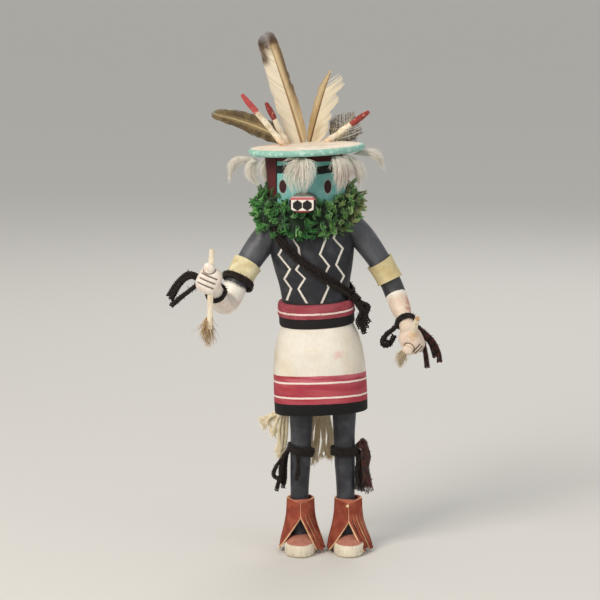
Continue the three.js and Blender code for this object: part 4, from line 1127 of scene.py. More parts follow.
def down_feather(stations, seed):
    """Barbs that leave the quill, swell out to its width and curl in again at their ends."""
    draw = np.random.default_rng(seed)
    rows = np.array(stations, float)
    heights = CROWN_HEIGHT + ROLL * (rows[:, 0] - CROWN_X) - DOWN_DROP - rows[:, 2]
    rows = smooth_rows(np.column_stack([rows[:, :2], heights, rows[:, 3]]), 8)
    share = np.linspace(0, 1, len(rows))
    path = rows[:, :3]
    tangent = unit(np.gradient(path, axis=0))
    across = np.cross([0, 0, 1.0], unit((path - [CROWN_X, 0, 0]) * [1, 1, 0]))
    facing = unit(np.cross(tangent, across))
    count = DOWN_BARBS
    start = draw.beta(1.0, 2.2, (count, 1)) * 0.75
    reach = draw.uniform(0.3, 0.75, (count, 1))
    run = np.linspace(0, 1, 7)[None]
    part = np.clip(start + reach * run, 0, 1)
    half = np.interp(part, share, rows[:, 3])
    spread = draw.uniform(-1, 1, (count, 1))
    lift = draw.normal(0, 0.5, (count, 1))
    swell = np.sin(run * np.pi / 2) ** 0.8
    flick = draw.normal(0, 0.9, (count, 1)) * run ** 4
    wave = 0.25 * np.sin(run * 9 + draw.uniform(0, 6.3, (count, 1))) * run
    sideways = half * spread * (swell * 0.9 + 0.25) + flick + wave
    forwards = np.clip(half, 0, 3.4) * lift * swell + draw.normal(0, 0.5, (count, 1)) * run ** 3
    past = np.clip(start + reach * run - 1, 0, 1) * 14
    points = sampled(path, part, share) + sideways[..., None] * sampled(across, part, share)
    points = points + forwards[..., None] * sampled(facing, part, share) + past[..., None] * tangent[-1]
    width = DOWN_WIDTH * (1.15 - run)
    barbs = bundle(points, width, draw.random((count, 1)), part)
    stem = bundle(path[::3], np.linspace(0.35, 0.1, len(path[::3])), 0.3, share[::3])
    return [barbs, stem]


white_down = down_finish()
for number, (node, stations) in enumerate(DOWN.items()):
    tuft = draw_strands(node + "_barbs", down_feather(stations, 50 + number), white_down, 3)
    hand_over(tuft, "down", node)

# The ruff: a ring of green wool yarn under the mask, cut short and left to stand out in soft curling
# tufts, deep green in front and faded to a yellow green on the doll's left.
RUFF_OUTER = 35
RUFF_INNER = 15
RUFF_INSET = 6.2  # from the tufts' ends to the bed that they are tied on
RUFF_LEVEL, RUFF_RISE = 196.5, 8.5  # its middle in front, and how much higher it lies behind
RUFF_HALF_HEIGHT, RUFF_FULLER = 9.5, 3  # in front, and how much more at its fullest
TUFT_TRIES = 9000
TUFT_WIDTH = 2.5
TUFT_GAP = 2.75
TUFT_STRANDS = 13
YARN_REACH = 6.6
PLY_WIDTH = 0.66
BED_SIDES = (72, 16)  # round the neck and round the bed's own section


def ruff_bed(angle, turn):
    """Places on the bed, by the angle round the neck and the turn round the bed's own section."""
    back = (1 + np.sin(angle)) / 2
    lumps = 1 + 0.09 * np.sin(9 * angle) + 0.07 * np.sin(14 * angle + 1)
    level = RUFF_LEVEL + RUFF_RISE * np.minimum(1, back * 1.5)
    fuller = RUFF_FULLER * np.sin(np.pi * np.minimum(1, back * 1.3))
    half_height = (RUFF_HALF_HEIGHT + fuller) * lumps - RUFF_INSET * 0.66
    outer = RUFF_OUTER * (0.93 + 0.07 * np.abs(np.cos(angle))) * (0.96 + 0.5 * (lumps - 1)) - RUFF_INSET
    reach = (RUFF_INNER + outer) / 2 + (outer - RUFF_INNER) / 2 * np.cos(turn)
    x, y = reach * np.cos(angle), reach * np.sin(angle)
    return np.stack([spine_x(level) - 0.6 + x, y, level + half_height * np.sin(turn) + ROLL * x], -1)


def tuft_places():
    """Where the tufts start, evenly scattered over the bed's outside, and which way each points."""
    draw = np.random.default_rng(5)
    angle, turn = draw.uniform(0, 2 * np.pi, TUFT_TRIES), draw.uniform(-2.2, 2.2, TUFT_TRIES)
    places = ruff_bed(angle, turn)
    kept = []
    for k, place in enumerate(places):
        if not kept or np.linalg.norm(places[kept] - place, axis=1).min() > TUFT_GAP:
            kept.append(k)
    places, angle, turn, nudge = places[kept], angle[kept], turn[kept], 0.01
    normals = np.cross(ruff_bed(angle + nudge, turn) - places, ruff_bed(angle, turn + nudge) - places)
    return places, unit(normals)


def ruff_tufts():
    """Cut ends of yarn, each opened into a brush of plies that bend over together."""
    draw = np.random.default_rng(6)
    places, normals = tuft_places()
    count = len(places)
    lean = draw.normal(0, 0.42, (count, 3))
    way = unit(normals + lean + [0, 0, -0.12])
    first = unit(np.cross(way, draw.normal(0, 1, (count, 3))))
    second = np.cross(way, first)
    curl = draw.uniform(0.8, 3.4, (count, 1, 1, 1))
    size = draw.uniform(0.78, 1.12, (count, 1, 1, 1)) * YARN_REACH
    turn = draw.uniform(0, 2 * np.pi, (count, TUFT_STRANDS, 1, 1))
    off = np.sqrt(draw.uniform(0, 1, (count, TUFT_STRANDS, 1, 1))) * TUFT_WIDTH / 2
    run = np.linspace(0, 1, 5)[None, None, :, None]
    cut = draw.uniform(0.86, 1.04, (count, TUFT_STRANDS, 1, 1))
    rise = size * cut * (run - 0.16 * run ** 2)
    spread = off * (0.6 + 1.1 * run)
    twist = turn + 2.6 * run
    wave = 0.4 * np.sin(8 * run + turn * 3) * run

    def each(vectors):
        return vectors[:, None, None]

    def per_strand(values):
        return np.broadcast_to(values, (count, TUFT_STRANDS, 5)).reshape(-1, 5)

    lines = each(places) + rise * each(way) + curl * run ** 2.2 * each(first)
    lines = lines + spread * (np.cos(twist) * each(first) + np.sin(twist) * each(second))
    lines = lines + wave * each(second)
    shade = np.clip(draw.random((count, 1, 1)) * 0.8 + draw.random((count, TUFT_STRANDS, 1)) * 0.3, 0, 1)
    width = PLY_WIDTH / 2 * (1 - 0.3 * run[..., 0] ** 3)
    out = draw.random((count, 1, 1))
    return bundle(lines.reshape(-1, 5, 3), per_strand(width), per_strand(shade), run.reshape(1, 5),
                  per_strand(out))


def wool(point, strength):
    """Wool yarn: fine fibres catch the light over a darker twist."""
    fibres = point.noise(0.32, 3) - 0.5
    clumps = point.noise(1.4, 2, seed=5.0) - 0.5
    return (fibres * 0.9 + clumps * 0.5) * strength + 1, fibres * 0.22


WOOL = effect_group("Wool fibres", wool)


def woollen(finish, strength=1.0, sheen=0.25):
    finish.shader.inputs["Sheen Weight"].default_value = sheen
    finish.shader.inputs["Sheen Roughness"].default_value = 0.6
    return lay(finish, WOOL, strength)


def green_wool():
    finish = Finish("green wool", "2b7f2e", 0.95, 0.2)
    shade, along = finish.attribute("shade"), finish.attribute("along")
    finish.coat("4c9340", finish.x.below(-12, 8) * 0.6)
    finish.coat("6f9343", finish.x.above(12, 9) * 0.6)
    finish.coat("b3ae70", finish.x.above(21, 7) * finish.attribute("out").above(0.45, 0.2) * 0.7)
    finish.coat("1a5a24", shade.below(0.35, 0.2) * 0.6)
    # Lighter green on the outer part of some tufts: a painted highlight.
    finish.coat("8ac671", shade.above(0.72, 0.14) * along.above(0.6, 0.3) * 0.6)
    # Darker towards the tufts' roots and lighter at their ends: painted shade deep in the ruff.
    finish.shade(along * 1.05 + 0.16)
    return woollen(finish, 0.5)


green = green_wool()
angle, turn = np.meshgrid(*(full_turn(sides) for sides in BED_SIDES), indexing="ij")
# The bed has no 'along' marks, so its finish reads 0 there and paints it darkest: painted shade deep under
# the tufts.
bed = make_object("yarn_ruff_bed", [(*skin(ruff_bed(angle, turn), loop=True), green)])
hand_over(bed, "green_yarn")
hand_over(draw_strands("yarn_ruff", [ruff_tufts()], green, 3), "green_yarn", "ruff")

# Black wool yarn: the bandolier, several strands side by side from the right shoulder to the left hip
# and round the back, knotted at the hip into a tassel. Ties of the same yarn at wrists and knees.
BANDOLIER = [
    [-14, -2, 201.6], [-19.6, -10.5, 195.2], [-14.6, -16.6, 185], [-7.6, -18.2, 177.6],
    [0, -18.6, 171.4], [11.6, -17.6, 163.8], [20.6, -14, 157.4], [27.2, -7.4, 151.6],
    [29.2, 1, 151.4], [25.6, 9.6, 156], [17.6, 16, 163.4], [6, 18.8, 173], [-6, 18.6, 183],
    [-13.6, 14.4, 192], [-16, 6.6, 199.4],
]
BANDOLIER_YARNS = {"count": 4, "spacing": 1.2, "width": 1.9}
HIP_ENDS = [
    [[30.5, -7.2, 148], [34.5, -7.8, 142], [32.8, -7.4, 136.4], [34.8, -7, 131]],
    [[31.5, -5.6, 148.5], [36.4, -5.4, 143], [34.6, -5.6, 137], [36.6, -5.4, 132]],
    [[30, -7.6, 147], [32.8, -8.8, 142], [30.8, -8, 136.6], [32.6, -7.6, 132]],
    [[32, -6.6, 148], [37.4, -6.8, 145], [35.8, -7, 139.6], [37.8, -6.6, 135.4]],
    [[31, -4.6, 147.5], [35, -4.2, 140.6], [33.2, -4.6, 134], [35, -4.4, 128.6]],
    [[31.4, -7, 147.6], [35.6, -8.6, 139.6], [33.6, -8, 134], [35, -7.4, 130.4]],
]
HIP_KNOT = {"at": [29.6, -6.8, 150], "radius": 1.9, "turns": 3, "yarn": 1.7}
HIP_YARN = 2.3
TASSEL_FROM = [28, -6.8, 151.6]
YARN_PITCH = 4.2  # length of one full twist
HAIRS_PER_MM = 2.0
HAIR_WIDTH = 0.24
SHOULDER_LEVEL = 190


def run_along(path):
    """How far along a path each of its points lies."""
    return np.concatenate([[0], np.linalg.norm(np.diff(path, axis=0), axis=1).cumsum()])


def smooth_path(points, step):
    """A smooth line through the points, with a point about every `step` millimetres."""
    fine = smooth_rows(points, 12)
    run = run_along(fine)
    return sampled(fine, np.linspace(0, run[-1], max(3, round(run[-1] / step) + 1)), run)


def carried_frames(path):
    """Two directions square to a path that turn with it and never spin."""
    tangent = unit(np.gradient(path, axis=0))
    normals = [unit(np.cross(tangent[0], [0.3, 0.9, 0.31]))]
    for way in tangent[1:]:
        normals.append(unit(normals[-1] - way * normals[-1].dot(way)))
    return np.array(normals), np.cross(tangent, normals)


def yarn(points, width, draw, plies=3, fuzz=1.0, splay=0.0, pitch=YARN_PITCH):
    """A twisted yarn along a path, with stray fibres; `splay` opens its plies towards the end."""
    path = smooth_path(points, pitch / 6)
    normal, side = carried_frames(path)
    run = np.linspace(0, 1, len(path))
    length = run_along(path)[-1]
    reach = (0.3 * width * (1 + splay * run ** 3))[:, None]
    half_width = 0.25 * width * (1 - 0.3 * splay * run ** 3)
    made = []
    shade = draw.random()
    for ply in range(plies):
        turn = 2 * np.pi * (run * length / pitch + ply / plies)[:, None]
        line = path + reach * np.cos(turn) * normal + reach * np.sin(turn) * side
        made.append(bundle(line, half_width, 0.5 * shade + 0.5 * ply / (plies - 1), run))
    hairs = int(length * HAIRS_PER_MM * fuzz)
    if hairs:
        spots = draw.integers(0, len(path), hairs)
        turn = draw.uniform(0, 2 * np.pi, (hairs, 1))
        out = np.cos(turn) * normal[spots] + np.sin(turn) * side[spots]
        reach = draw.uniform(0.5, 1.0, (hairs, 1)) * width * 0.42
        bend = draw.normal(0, 0.4, (hairs, 3))
        share = np.linspace(0, 1, 3)[None, :, None]
        root = path[spots] + out * width * 0.3
        lines = root[:, None] + out[:, None] * reach[:, None] * share + bend[:, None] * share ** 2
        made.append(bundle(lines, HAIR_WIDTH / 2, draw.random((hairs, 1)), 0.5))
    return made


def black_wool():
    finish = Finish("black wool", "110d0c", 0.9, 0.2)
    shade = finish.attribute("shade")
    finish.coat("2a1f1a", shade.above(0.55, 0.2) * 0.7)
    finish.coat("40302a", finish.point.noise(1.0, 3).above(0.6, 0.1) * 0.6)
    finish.coat("53281f", finish.x.above(67, 4) * shade.above(0.4, 0.2) * 0.7)
    return woollen(finish, 0.8, 0.08)


black = black_wool()


def bandolier_strands():
    draw = np.random.default_rng(70)
    closed = np.array(BANDOLIER[-2:] + BANDOLIER + BANDOLIER[:2], float)
    path = smooth_path(closed, 1.5)
    tangent = unit(np.gradient(path, axis=0))
    over_shoulder = 2 * np.maximum(0, path[:, 2] - SHOULDER_LEVEL)
    outward = unit(np.stack([path[:, 0] - spine_x(path[:, 2]), path[:, 1], over_shoulder], 1))
    across = unit(np.cross(tangent, outward))
    facing = np.cross(across, tangent)
    run = np.linspace(0, 1, len(path))
    strands = []
    for k in range(BANDOLIER_YARNS["count"]):
        place = (k - (BANDOLIER_YARNS["count"] - 1) / 2) * BANDOLIER_YARNS["spacing"]
        waver = 0.5 * np.sin(run * 21 + k * 2.1) + 0.3 * np.sin(run * 47 + k)
        lift = 0.35 * np.sin(run * 33 + k * 1.7)
        line = path + (place + waver)[:, None] * across + lift[:, None] * facing
        strands += yarn(line[::2], BANDOLIER_YARNS["width"], draw)
    return strands


def tassel(knot, ends, width, seed, splay=0.8):
    """Loose ends of yarn from a knot; each is a list of places."""
    draw = np.random.default_rng(seed)
    strands = []
    for route in ends:
        strands += yarn([knot, *route], width, draw, splay=splay)
    return strands


def knot_turns(centre, radius, axis, turns, width, seed):
    """A few turns of yarn pulled into a knot."""
    draw = np.random.default_rng(seed)
    axis = unit(axis)
    first = unit(np.cross(axis, [0.3, 1, 0.2]))
    second = np.cross(axis, first)
    angle = np.linspace(0, 2 * np.pi * turns, 10 * turns)
    rise = np.linspace(-0.5, 0.5, len(angle)) * turns * width * 0.8
    points = ring_about(np.array(centre), first, second, radius, radius, angle)
    return yarn(points + np.outer(rise, axis), width, draw, fuzz=0.6)


strands = bandolier_strands() + tassel(TASSEL_FROM, HIP_ENDS, HIP_YARN, 71)
strands += knot_turns(HIP_KNOT["at"], HIP_KNOT["radius"], [1, 0, -1], HIP_KNOT["turns"], HIP_KNOT["yarn"], 72)
hand_over(draw_strands("yarn_bandolier", strands, black), "black_yarn", "bandolier")

# The wrist ties: yarn wound round each wrist over the paint, its ends left long and curling. On the
# right arm two turns of it also close the lower end of the armband.
WRIST_STATION, LACING_STATION = 6, 3
WRIST_TIE = (4.2, 3, 1.7)  # its width, its turns and its yarn's width
LACING = (5, 2, 2.7)
WRIST_END_WIDTH = 2.8
WRIST_ENDS = {
    "right": [
        [[-54.4, -30, 155.6], [-59, -27, 164], [-66, -24.6, 166.4], [-73, -22, 160], [-77.4, -20, 152.6]],
        [[-54.4, -30, 155.6], [-59.4, -27, 160.4], [-66.4, -24, 155.6], [-72, -23, 151], [-76, -22, 147.6]],
        [[-54, -30, 155.6], [-58, -27.6, 162], [-65, -25.6, 164.6], [-71, -23.6, 159.6], [-76, -21, 151]],
    ],
    "left": [
        [[54.4, -13, 136], [50, -13, 131.4], [45.6, -13.4, 127.6], [45.4, -13.6, 123.6], [49, -13.4, 123.6],
         [52, -13, 129]],
        [[54.6, -14, 136], [51, -14.6, 132.6], [47.4, -14.8, 130], [46, -15, 126], [49, -15, 125]],
        [[63, -13, 136], [68.4, -13, 131.4], [74, -13, 126], [77.4, -13, 119], [78.2, -13, 113.4]],
        [[63, -13, 136], [67.4, -16.6, 129], [69.6, -18, 120], [70.8, -18.4, 111]],
        [[63, -13, 136], [68, -14, 130.4], [73, -14, 124], [75.6, -14.4, 116.4]],
    ],
}


def wound(centre, across, deep, half_width, half_depth, width, turns, yarn_width, seed):
    """Yarn wound flat round a wrist or a leg, `width` wide in all."""
    angle = np.linspace(0, 2 * np.pi * turns, 14 * turns)
    reach = 0.25 + yarn_width / 2 + 0.15 * np.sin(angle * 0.7)
    slide = np.linspace(-0.5, 0.5, len(angle)) * (width - yarn_width)
    points = ring_about(np.array(centre), across, deep, half_width + reach, half_depth + reach, angle)
    points = points + np.outer(slide, np.cross(across, deep))
    return yarn(points, yarn_width, np.random.default_rng(seed))


def limb_cut(stations, station):
    """Centre, directions and half sizes of a limb at a station."""
    rows = smooth_rows(stations, 10)
    _, across, deep = cut_frames(rows[:, :3])
    k = round(station * 10)
    return rows[k, :3], across[k], deep[k], rows[k, 3], rows[k, 4]


for number, (name, stations) in enumerate((("right", RIGHT_ARM), ("left", LEFT_ARM))):
    strands = wound(*limb_cut(stations, WRIST_STATION), *WRIST_TIE, 80 + number)
    if name == "right":
        strands += wound(*limb_cut(stations, LACING_STATION), *LACING, 82)
    draw = np.random.default_rng(84 + number)
    for route in WRIST_ENDS[name]:
        strands += yarn(route, WRIST_END_WIDTH, draw, splay=0.6)
    hand_over(draw_strands("yarn_wrist_" + name, strands, black), "black_yarn", "wrist_yarn_" + name)

# The garters: yarn wound below each knee, with loose ends on the outer side; the left one also has a
# fluffy end of rust-red yarn.
GARTERS = {
    "right": {
        "level": 59.4, "slope": -0.26, "place": LEG_PLACE[-1] - 0.2,
        "ends": [
            [[-8.8, -2, 60], [-11.6, -1.6, 56], [-14, -1, 46], [-14.6, -1, 36.6]],
            [[-8.8, 0.6, 60.6], [-10.6, 1, 54], [-11.4, 1.4, 44], [-11.6, 1.4, 37]],
            [[-9, -1.4, 58], [-14.6, -1, 51], [-17.6, -0.6, 44.6], [-16, -0.4, 42]],
            [[-9, 0, 59.4], [-12, 0, 54], [-13, 0.2, 46], [-13.4, 0.4, 38.4]],
            [[-4, -7.4, 57.6], [-3.4, -9.4, 53], [-3.4, -9.4, 45.4]],
        ],
    },
    "left": {
        "level": 58.6, "slope": -0.04, "place": LEG_PLACE[1] + 0.2,
        "ends": [
            [[30.6, 0, 60.6], [33, -0.6, 56], [33.2, -1, 45], [33.6, -1, 35]],
            [[30.6, 1, 61.4], [34.4, 0.6, 64], [36.8, 0.4, 58], [36, 0, 47], [37, 0, 37]],
            [[30.6, 0.6, 60], [34, 0.4, 55], [34.6, 0.6, 46], [34.4, 0.6, 37]],
            [[30, -3, 59], [31.6, -2.6, 54], [31, -2, 44], [32, -2, 36.4]],
        ],
    },
}
RUST_ENDS = [
    [[31, -1.6, 60.6], [34.6, -2.2, 65.6], [37.4, -2, 57], [36.2, -2, 48], [37.8, -2, 39]],
    [[31, -1, 60.6], [35, -2.6, 61], [36, -2.6, 51], [37.4, -2.4, 43], [36.4, -2, 35.6]],
    [[31, -1.4, 60], [34, -3, 62.6], [35, -3, 54], [34.6, -3, 45], [35.6, -2.6, 37]],
    [[31, -0.6, 60.6], [36, -1.4, 63], [38, -1.4, 52], [37, -1.4, 42], [38.4, -1.2, 36.4]],
]
LEG_SIZES = (6.1, 6.7)  # half width and half depth of a leg there
GARTER_TIE = (6.2, 4, 1.9)  # its width, its turns and its yarn's width
GARTER_END_WIDTH, RUST_YARN = 2.1, 1.5


def loosened(route, draw, amount):
    """A route that strays from its own start on."""
    route = np.array(route, float)
    return route + draw.normal(0, amount, route.shape) * np.linspace(0, 1.3, len(route))[:, None]


def loose_ends(routes, amount, width, draw, **looks):
    """Two yarns that stray along each route."""
    strands = []
    for route in routes:
        for _ in range(2):
            strands += yarn(loosened(route, draw, amount), width, draw, **looks)
    return strands


finish = Finish("rust wool", "56231a", 0.95, 0.2)
finish.coat("1a100f", finish.point.noise(2.4, 3).above(0.48, 0.1) * 0.9)
rust = woollen(finish)
for number, (name, tie) in enumerate(GARTERS.items()):
    centre = [FEET_MIDDLE + tie["place"], 0, tie["level"]]
    strands = wound(centre, unit([1, 0, tie["slope"]]), [0, 1, 0], *LEG_SIZES, *GARTER_TIE, 90 + number)
    draw = np.random.default_rng(94 + number)
    strands += loose_ends(tie["ends"], 0.8, GARTER_END_WIDTH, draw, splay=0.8)
    hand_over(draw_strands("yarn_garter_" + name, strands, black), "black_yarn", "garter_" + name)
strands = loose_ends(RUST_ENDS, 1, RUST_YARN, np.random.default_rng(99), fuzz=5, splay=1.6, pitch=5.2)
hand_over(draw_strands("yarn_rust_end", strands, rust), "black_yarn")

# The rain sash: cotton strings that hang out under the hem, one bundle at the right side with a knot
# that sticks out, one between the legs. Each string is twisted and its end is frayed.
CORD_WIDTH = 2.0
FRAY = {"fibres": 36, "length": 3.4, "width": 0.28, "spread": 0.315}  # at a string's end
SIDE_CORDS = [
    [[-12, 10.4, 77.6], [-15.6, 10.4, 79.6], [-19, 10, 77.4], [-22.6, 9.4, 74.6]],
    [[-13, 10.4, 76.6], [-17.4, 10.4, 76], [-20.4, 10.2, 73.4], [-19.6, 10, 70.4]],
    [[-12, 9.4, 78.4], [-15.4, 9.2, 81], [-18, 9.2, 79], [-23, 9, 76.6]],
    [[-12.6, 9.4, 77], [-16.4, 8.8, 78.4], [-20.6, 8.6, 76.6], [-22, 9, 73]],
    [[-14, 10.4, 77], [-16.6, 10.4, 74], [-17.4, 10.6, 70], [-15.6, 11, 68]],
    [[-12.6, 8.6, 79.4], [-15, 8.4, 77], [-17, 8.6, 72], [-17.6, 9, 68.4]],
    [[-12.4, 10.4, 82], [-13.6, 11, 74], [-14, 11.4, 66], [-15.6, 11.6, 58]],
    [[-10.4, 10.6, 82], [-11.4, 11.4, 72], [-11.8, 11.6, 64], [-13.6, 11.6, 55]],
    [[-11.4, 9.6, 82], [-12.4, 10, 73], [-12.8, 10, 64], [-14, 10, 56.4]],
    [[-9.6, 10.4, 82], [-10, 10.8, 72], [-10.4, 10.8, 66], [-11.6, 10.8, 58]],
    [[-13, 9, 82], [-13.8, 9, 76], [-14.8, 9.4, 68], [-14, 9.8, 61]],
]
BACK_CORDS = [
    [[6.4, 12.6, 84], [4.8, 13, 72], [2.6, 13, 64], [4.8, 13, 54]],
    [[7.6, 12.6, 84], [6, 13.2, 74], [4.4, 13.4, 64], [6.6, 13.2, 53]],
    [[8.6, 12.6, 84], [7.6, 13.2, 72], [6.6, 13.4, 60], [5.6, 13.2, 51.6]],
    [[9.4, 12, 84], [9, 12.2, 73], [8.6, 12.2, 64], [7.6, 12, 55]],
    [[10.6, 12.6, 84], [10.6, 13.4, 72], [11.4, 13.4, 63], [12.8, 13.2, 56]],
    [[11.6, 12.6, 84], [12.2, 13.2, 74], [12, 13.6, 64], [10.4, 13.4, 55]],
    [[12.6, 12.6, 84], [14.6, 13.2, 70], [15.6, 13.2, 63], [15.2, 13, 54]],
    [[13.4, 12.6, 84], [15.8, 13.2, 71], [17.4, 13.2, 64], [16.4, 13, 55.4]],
    [[12, 11.6, 84], [13.2, 12, 74], [14.6, 12, 65], [14, 12, 56.4]],
]


def cotton():
    finish = Finish("cotton string", "fff3d6", 0.9, 0.2)
    shade = finish.attribute("shade")
    finish.coat("ecdcb4", shade.between(0.35, 0.65, 0.1) * 0.5)
    finish.coat("e2d2a8", finish.point.noise(1.5, 3).above(0.6, 0.1) * 0.4)
    # Tan streaks along the strings behind the legs: painted shade between the strings.
    finish.coat("d9b67c", finish.x.above(2, 1) * finish.point.noise(4, 2, (1, 1, 0.2)).above(0.5, 0.1) * 0.55)
    return woollen(finish, 0.4)


def frayed(before, end, draw):
    """Loose fibres at a string's end."""
    count = FRAY["fibres"]
    run = np.linspace(0, 1, 5)[None, :, None]
    aim = unit(end - before) + draw.normal(0, FRAY["spread"], (count, 3))
    droop = draw.normal(0, 0.6, (count, 3))
    lengths = draw.uniform(0.6, 1, (count, 1, 1)) * FRAY["length"]
    lines = end + aim[:, None] * lengths * run + droop[:, None] * run ** 2
    return bundle(lines, FRAY["width"] / 2, draw.random((count, 1)), 1.0)


string = cotton()
for number, (name, routes) in enumerate((("side", SIDE_CORDS), ("back", BACK_CORDS))):
    draw = np.random.default_rng(110 + number)
    strands = []
    for route in routes:
        strands += yarn(route, CORD_WIDTH, draw, fuzz=0.3, splay=0.5)
        strands.append(frayed(*np.array(route[-2:]), draw))
    hand_over(draw_strands("string_" + name, strands, string), "cotton_cord", "rain_sash_" + name)

# The tufts at the lower ends of the hand sticks: a brown and a cream bit of feather, glued on.
TUFT_BARBS = 420
TUFT_BARB_WIDTH = 0.34
STICK_TUFTS = {  # three places along its middle, then half its width
    "stick_feather_right": [[-53.2, -43.6, 145.5], [-54.6, -43, 136.5], [-53.8, -42.6, 127], 8.6],
    "stick_feather_left": [[59.2, -17.4, 122.6], [56.6, -15.6, 118.4], [55, -15, 110.4], 5.4],
}


def stick_tuft(start, middle, end, half, seed):
    draw = np.random.default_rng(seed)
    path = smooth_path([start, middle, end], 1.0)
    share = np.linspace(0, 1, len(path))
    count = TUFT_BARBS
    first = draw.beta(1, 2.4, (count, 1)) * 0.6
    reach = draw.uniform(0.3, 0.7, (count, 1))
    run = np.linspace(0, 1, 7)[None]
    part = np.clip(first + reach * run, 0, 1)
    points = sampled(path, part, share)
    turn = draw.uniform(0, 2 * np.pi, (count, 1))
    wide = np.sin(part * np.pi * 0.85 + 0.2) * run ** 0.7
    out = draw.beta(1.1, 2.2, (count, 1)) * half * wide
    points[..., 0] += out * np.cos(turn) + draw.normal(0, 1.2, (count, 1)) * run ** 3
    points[..., 0] += np.sin(run * 5) * draw.normal(0, 1, (count, 1)) * (1 - part)
    points[..., 1] += out * np.sin(turn) * 0.7
    return [bundle(points, TUFT_BARB_WIDTH / 2 * (1.2 - run), draw.random((count, 1)), part)]


for number, (node, (start, middle, end, half)) in enumerate(STICK_TUFTS.items()):
    finish = feather_finish(node + " colour", "b98f5c" if number == 0 else "d9ccae", 0.85)
    finish.coat("e6dabd", finish.attribute("shade").above(0.62, 0.1) * 0.8)
    finish.coat("6b5036", finish.attribute("shade").below(0.2, 0.08) * 0.7)
    strands = stick_tuft(start, middle, end, half, 120 + number)
    hand_over(draw_strands(node + "_barbs", strands, finish.done(), 3), "feather_tuft", node)

# The armbands: strips of pale buff leather wrapped round the upper arms and glued.
ARMBANDS = {"right": (RIGHT_ARM, 12.4), "left": (LEFT_ARM, 13)}
ARMBAND_STATION = 2.5
ARMBAND_GAP, ARMBAND_FLARE, ARMBAND_RIPPLE = 0.3, 0.35, 0.18
LEATHER_WALL = 0.9


def hide(point, strength):
    """Leather: soft nap, pores and shallow creases."""
    nap = point.noise(0.6, 3) - 0.5
    creases = point.noise(4, 4, seed=3.0) - 0.5
    return (nap * 0.35 + creases * 0.7) * strength + 1, nap * 0.1 + creases * 0.3


HIDE = effect_group("Leather nap", hide)
finish = Finish("buff leather", "e0d7b2", 0.85, 0.2)
# The band on the doll's left is darker all over: painted shade.
finish.coat("c2b07f", finish.x.above(0) * 0.6)
finish.coat("bfa873", finish.point.noise(6, 4).above(0.55, 0.15) * 0.6)
buff = lay(finish, HIDE, 0.6)
for name, (stations, width) in ARMBANDS.items():
    rows = smooth_rows(stations, 20)
    _, across, deep = cut_frames(rows[:, :3])
    run = run_along(rows[:, :3])
    middle = run[round(ARMBAND_STATION * 20)]
    angle = full_turn(56)
    rings = []
    for wall, steps in ((LEATHER_WALL, np.linspace(-1, 1, 7)), (0, np.linspace(1, -1, 7))):
        for step in steps:
            at = middle + step * width / 2
            cut, *ways = (sampled(table, at, run) for table in (rows, across, deep))
            reach = ARMBAND_GAP + ARMBAND_FLARE * step ** 4 + wall
            if wall:
                reach = reach + ARMBAND_RIPPLE * np.sin(3 * angle + 2 * step)
            rings.append(ring_about(cut[:3], *ways, cut[3] + reach, cut[4] + reach, angle))
    band = make_object("leather_band_" + name, [(*skin(rings, loop=True), buff)], 60)
    hand_over(band, "armband_leather", "armband_" + name)

# The ankle wraps: terracotta suede cut to a cone and closed in front with its raw tan edges curling
# out, open over the foot; from its left front round the back it is cut into fringe.
WRAP_LEVELS = [
    [0.07, 12.6, 15.4, -3], [0.24, 11.7, 13.9, -2.2], [0.45, 10, 11.4, -1], [0.7, 8.6, 9.2, -0.2],
    [1, 8.1, 8.3, 0],
]
WRAP_HEIGHT = 31
WRAP_PLACE = {-1: -13.6, 1: 14.4}
WRAP_WALL = 1.0
OPENING_TOP = {-1: 21, 1: 18.5}
OPENING_SLOPES = (0.46, 0.66)  # half width by height below its top, to the doll's left and right
EDGE_CURL = 0.9
NECK_DIP = 1.7  # how much lower the top edge lies in front
STRIP_TAPER = 0.009
CUT_TOPS = (0.74, 0.55)  # how far up the fringe is cut, at the left side and behind
FRINGE_CUTS = [0.045, 0.09, 0.135, 0.18, 0.225, 0.27, 0.32, 0.38, 0.44, 0.5, 0.56, 0.62, 0.68, 0.74]
# The wrap's inner turn, which lies on the leg and shows over its front edge
CUFF = {"levels": [23, 27, 30.4, 31], "half_sizes": (6.2, 7.3), "wall": 0.9}


def suede(name, base, dark, deep):
    finish = Finish(name, base, 0.9, 0.2)
    finish.coat(dark, finish.point.noise(5, 4).above(0.52, 0.15) * 0.6)
    finish.coat(deep, finish.point.noise(9, 3, seed=6.0).above(0.58, 0.1) * 0.5)
    return lay(finish, HIDE, 1.0)


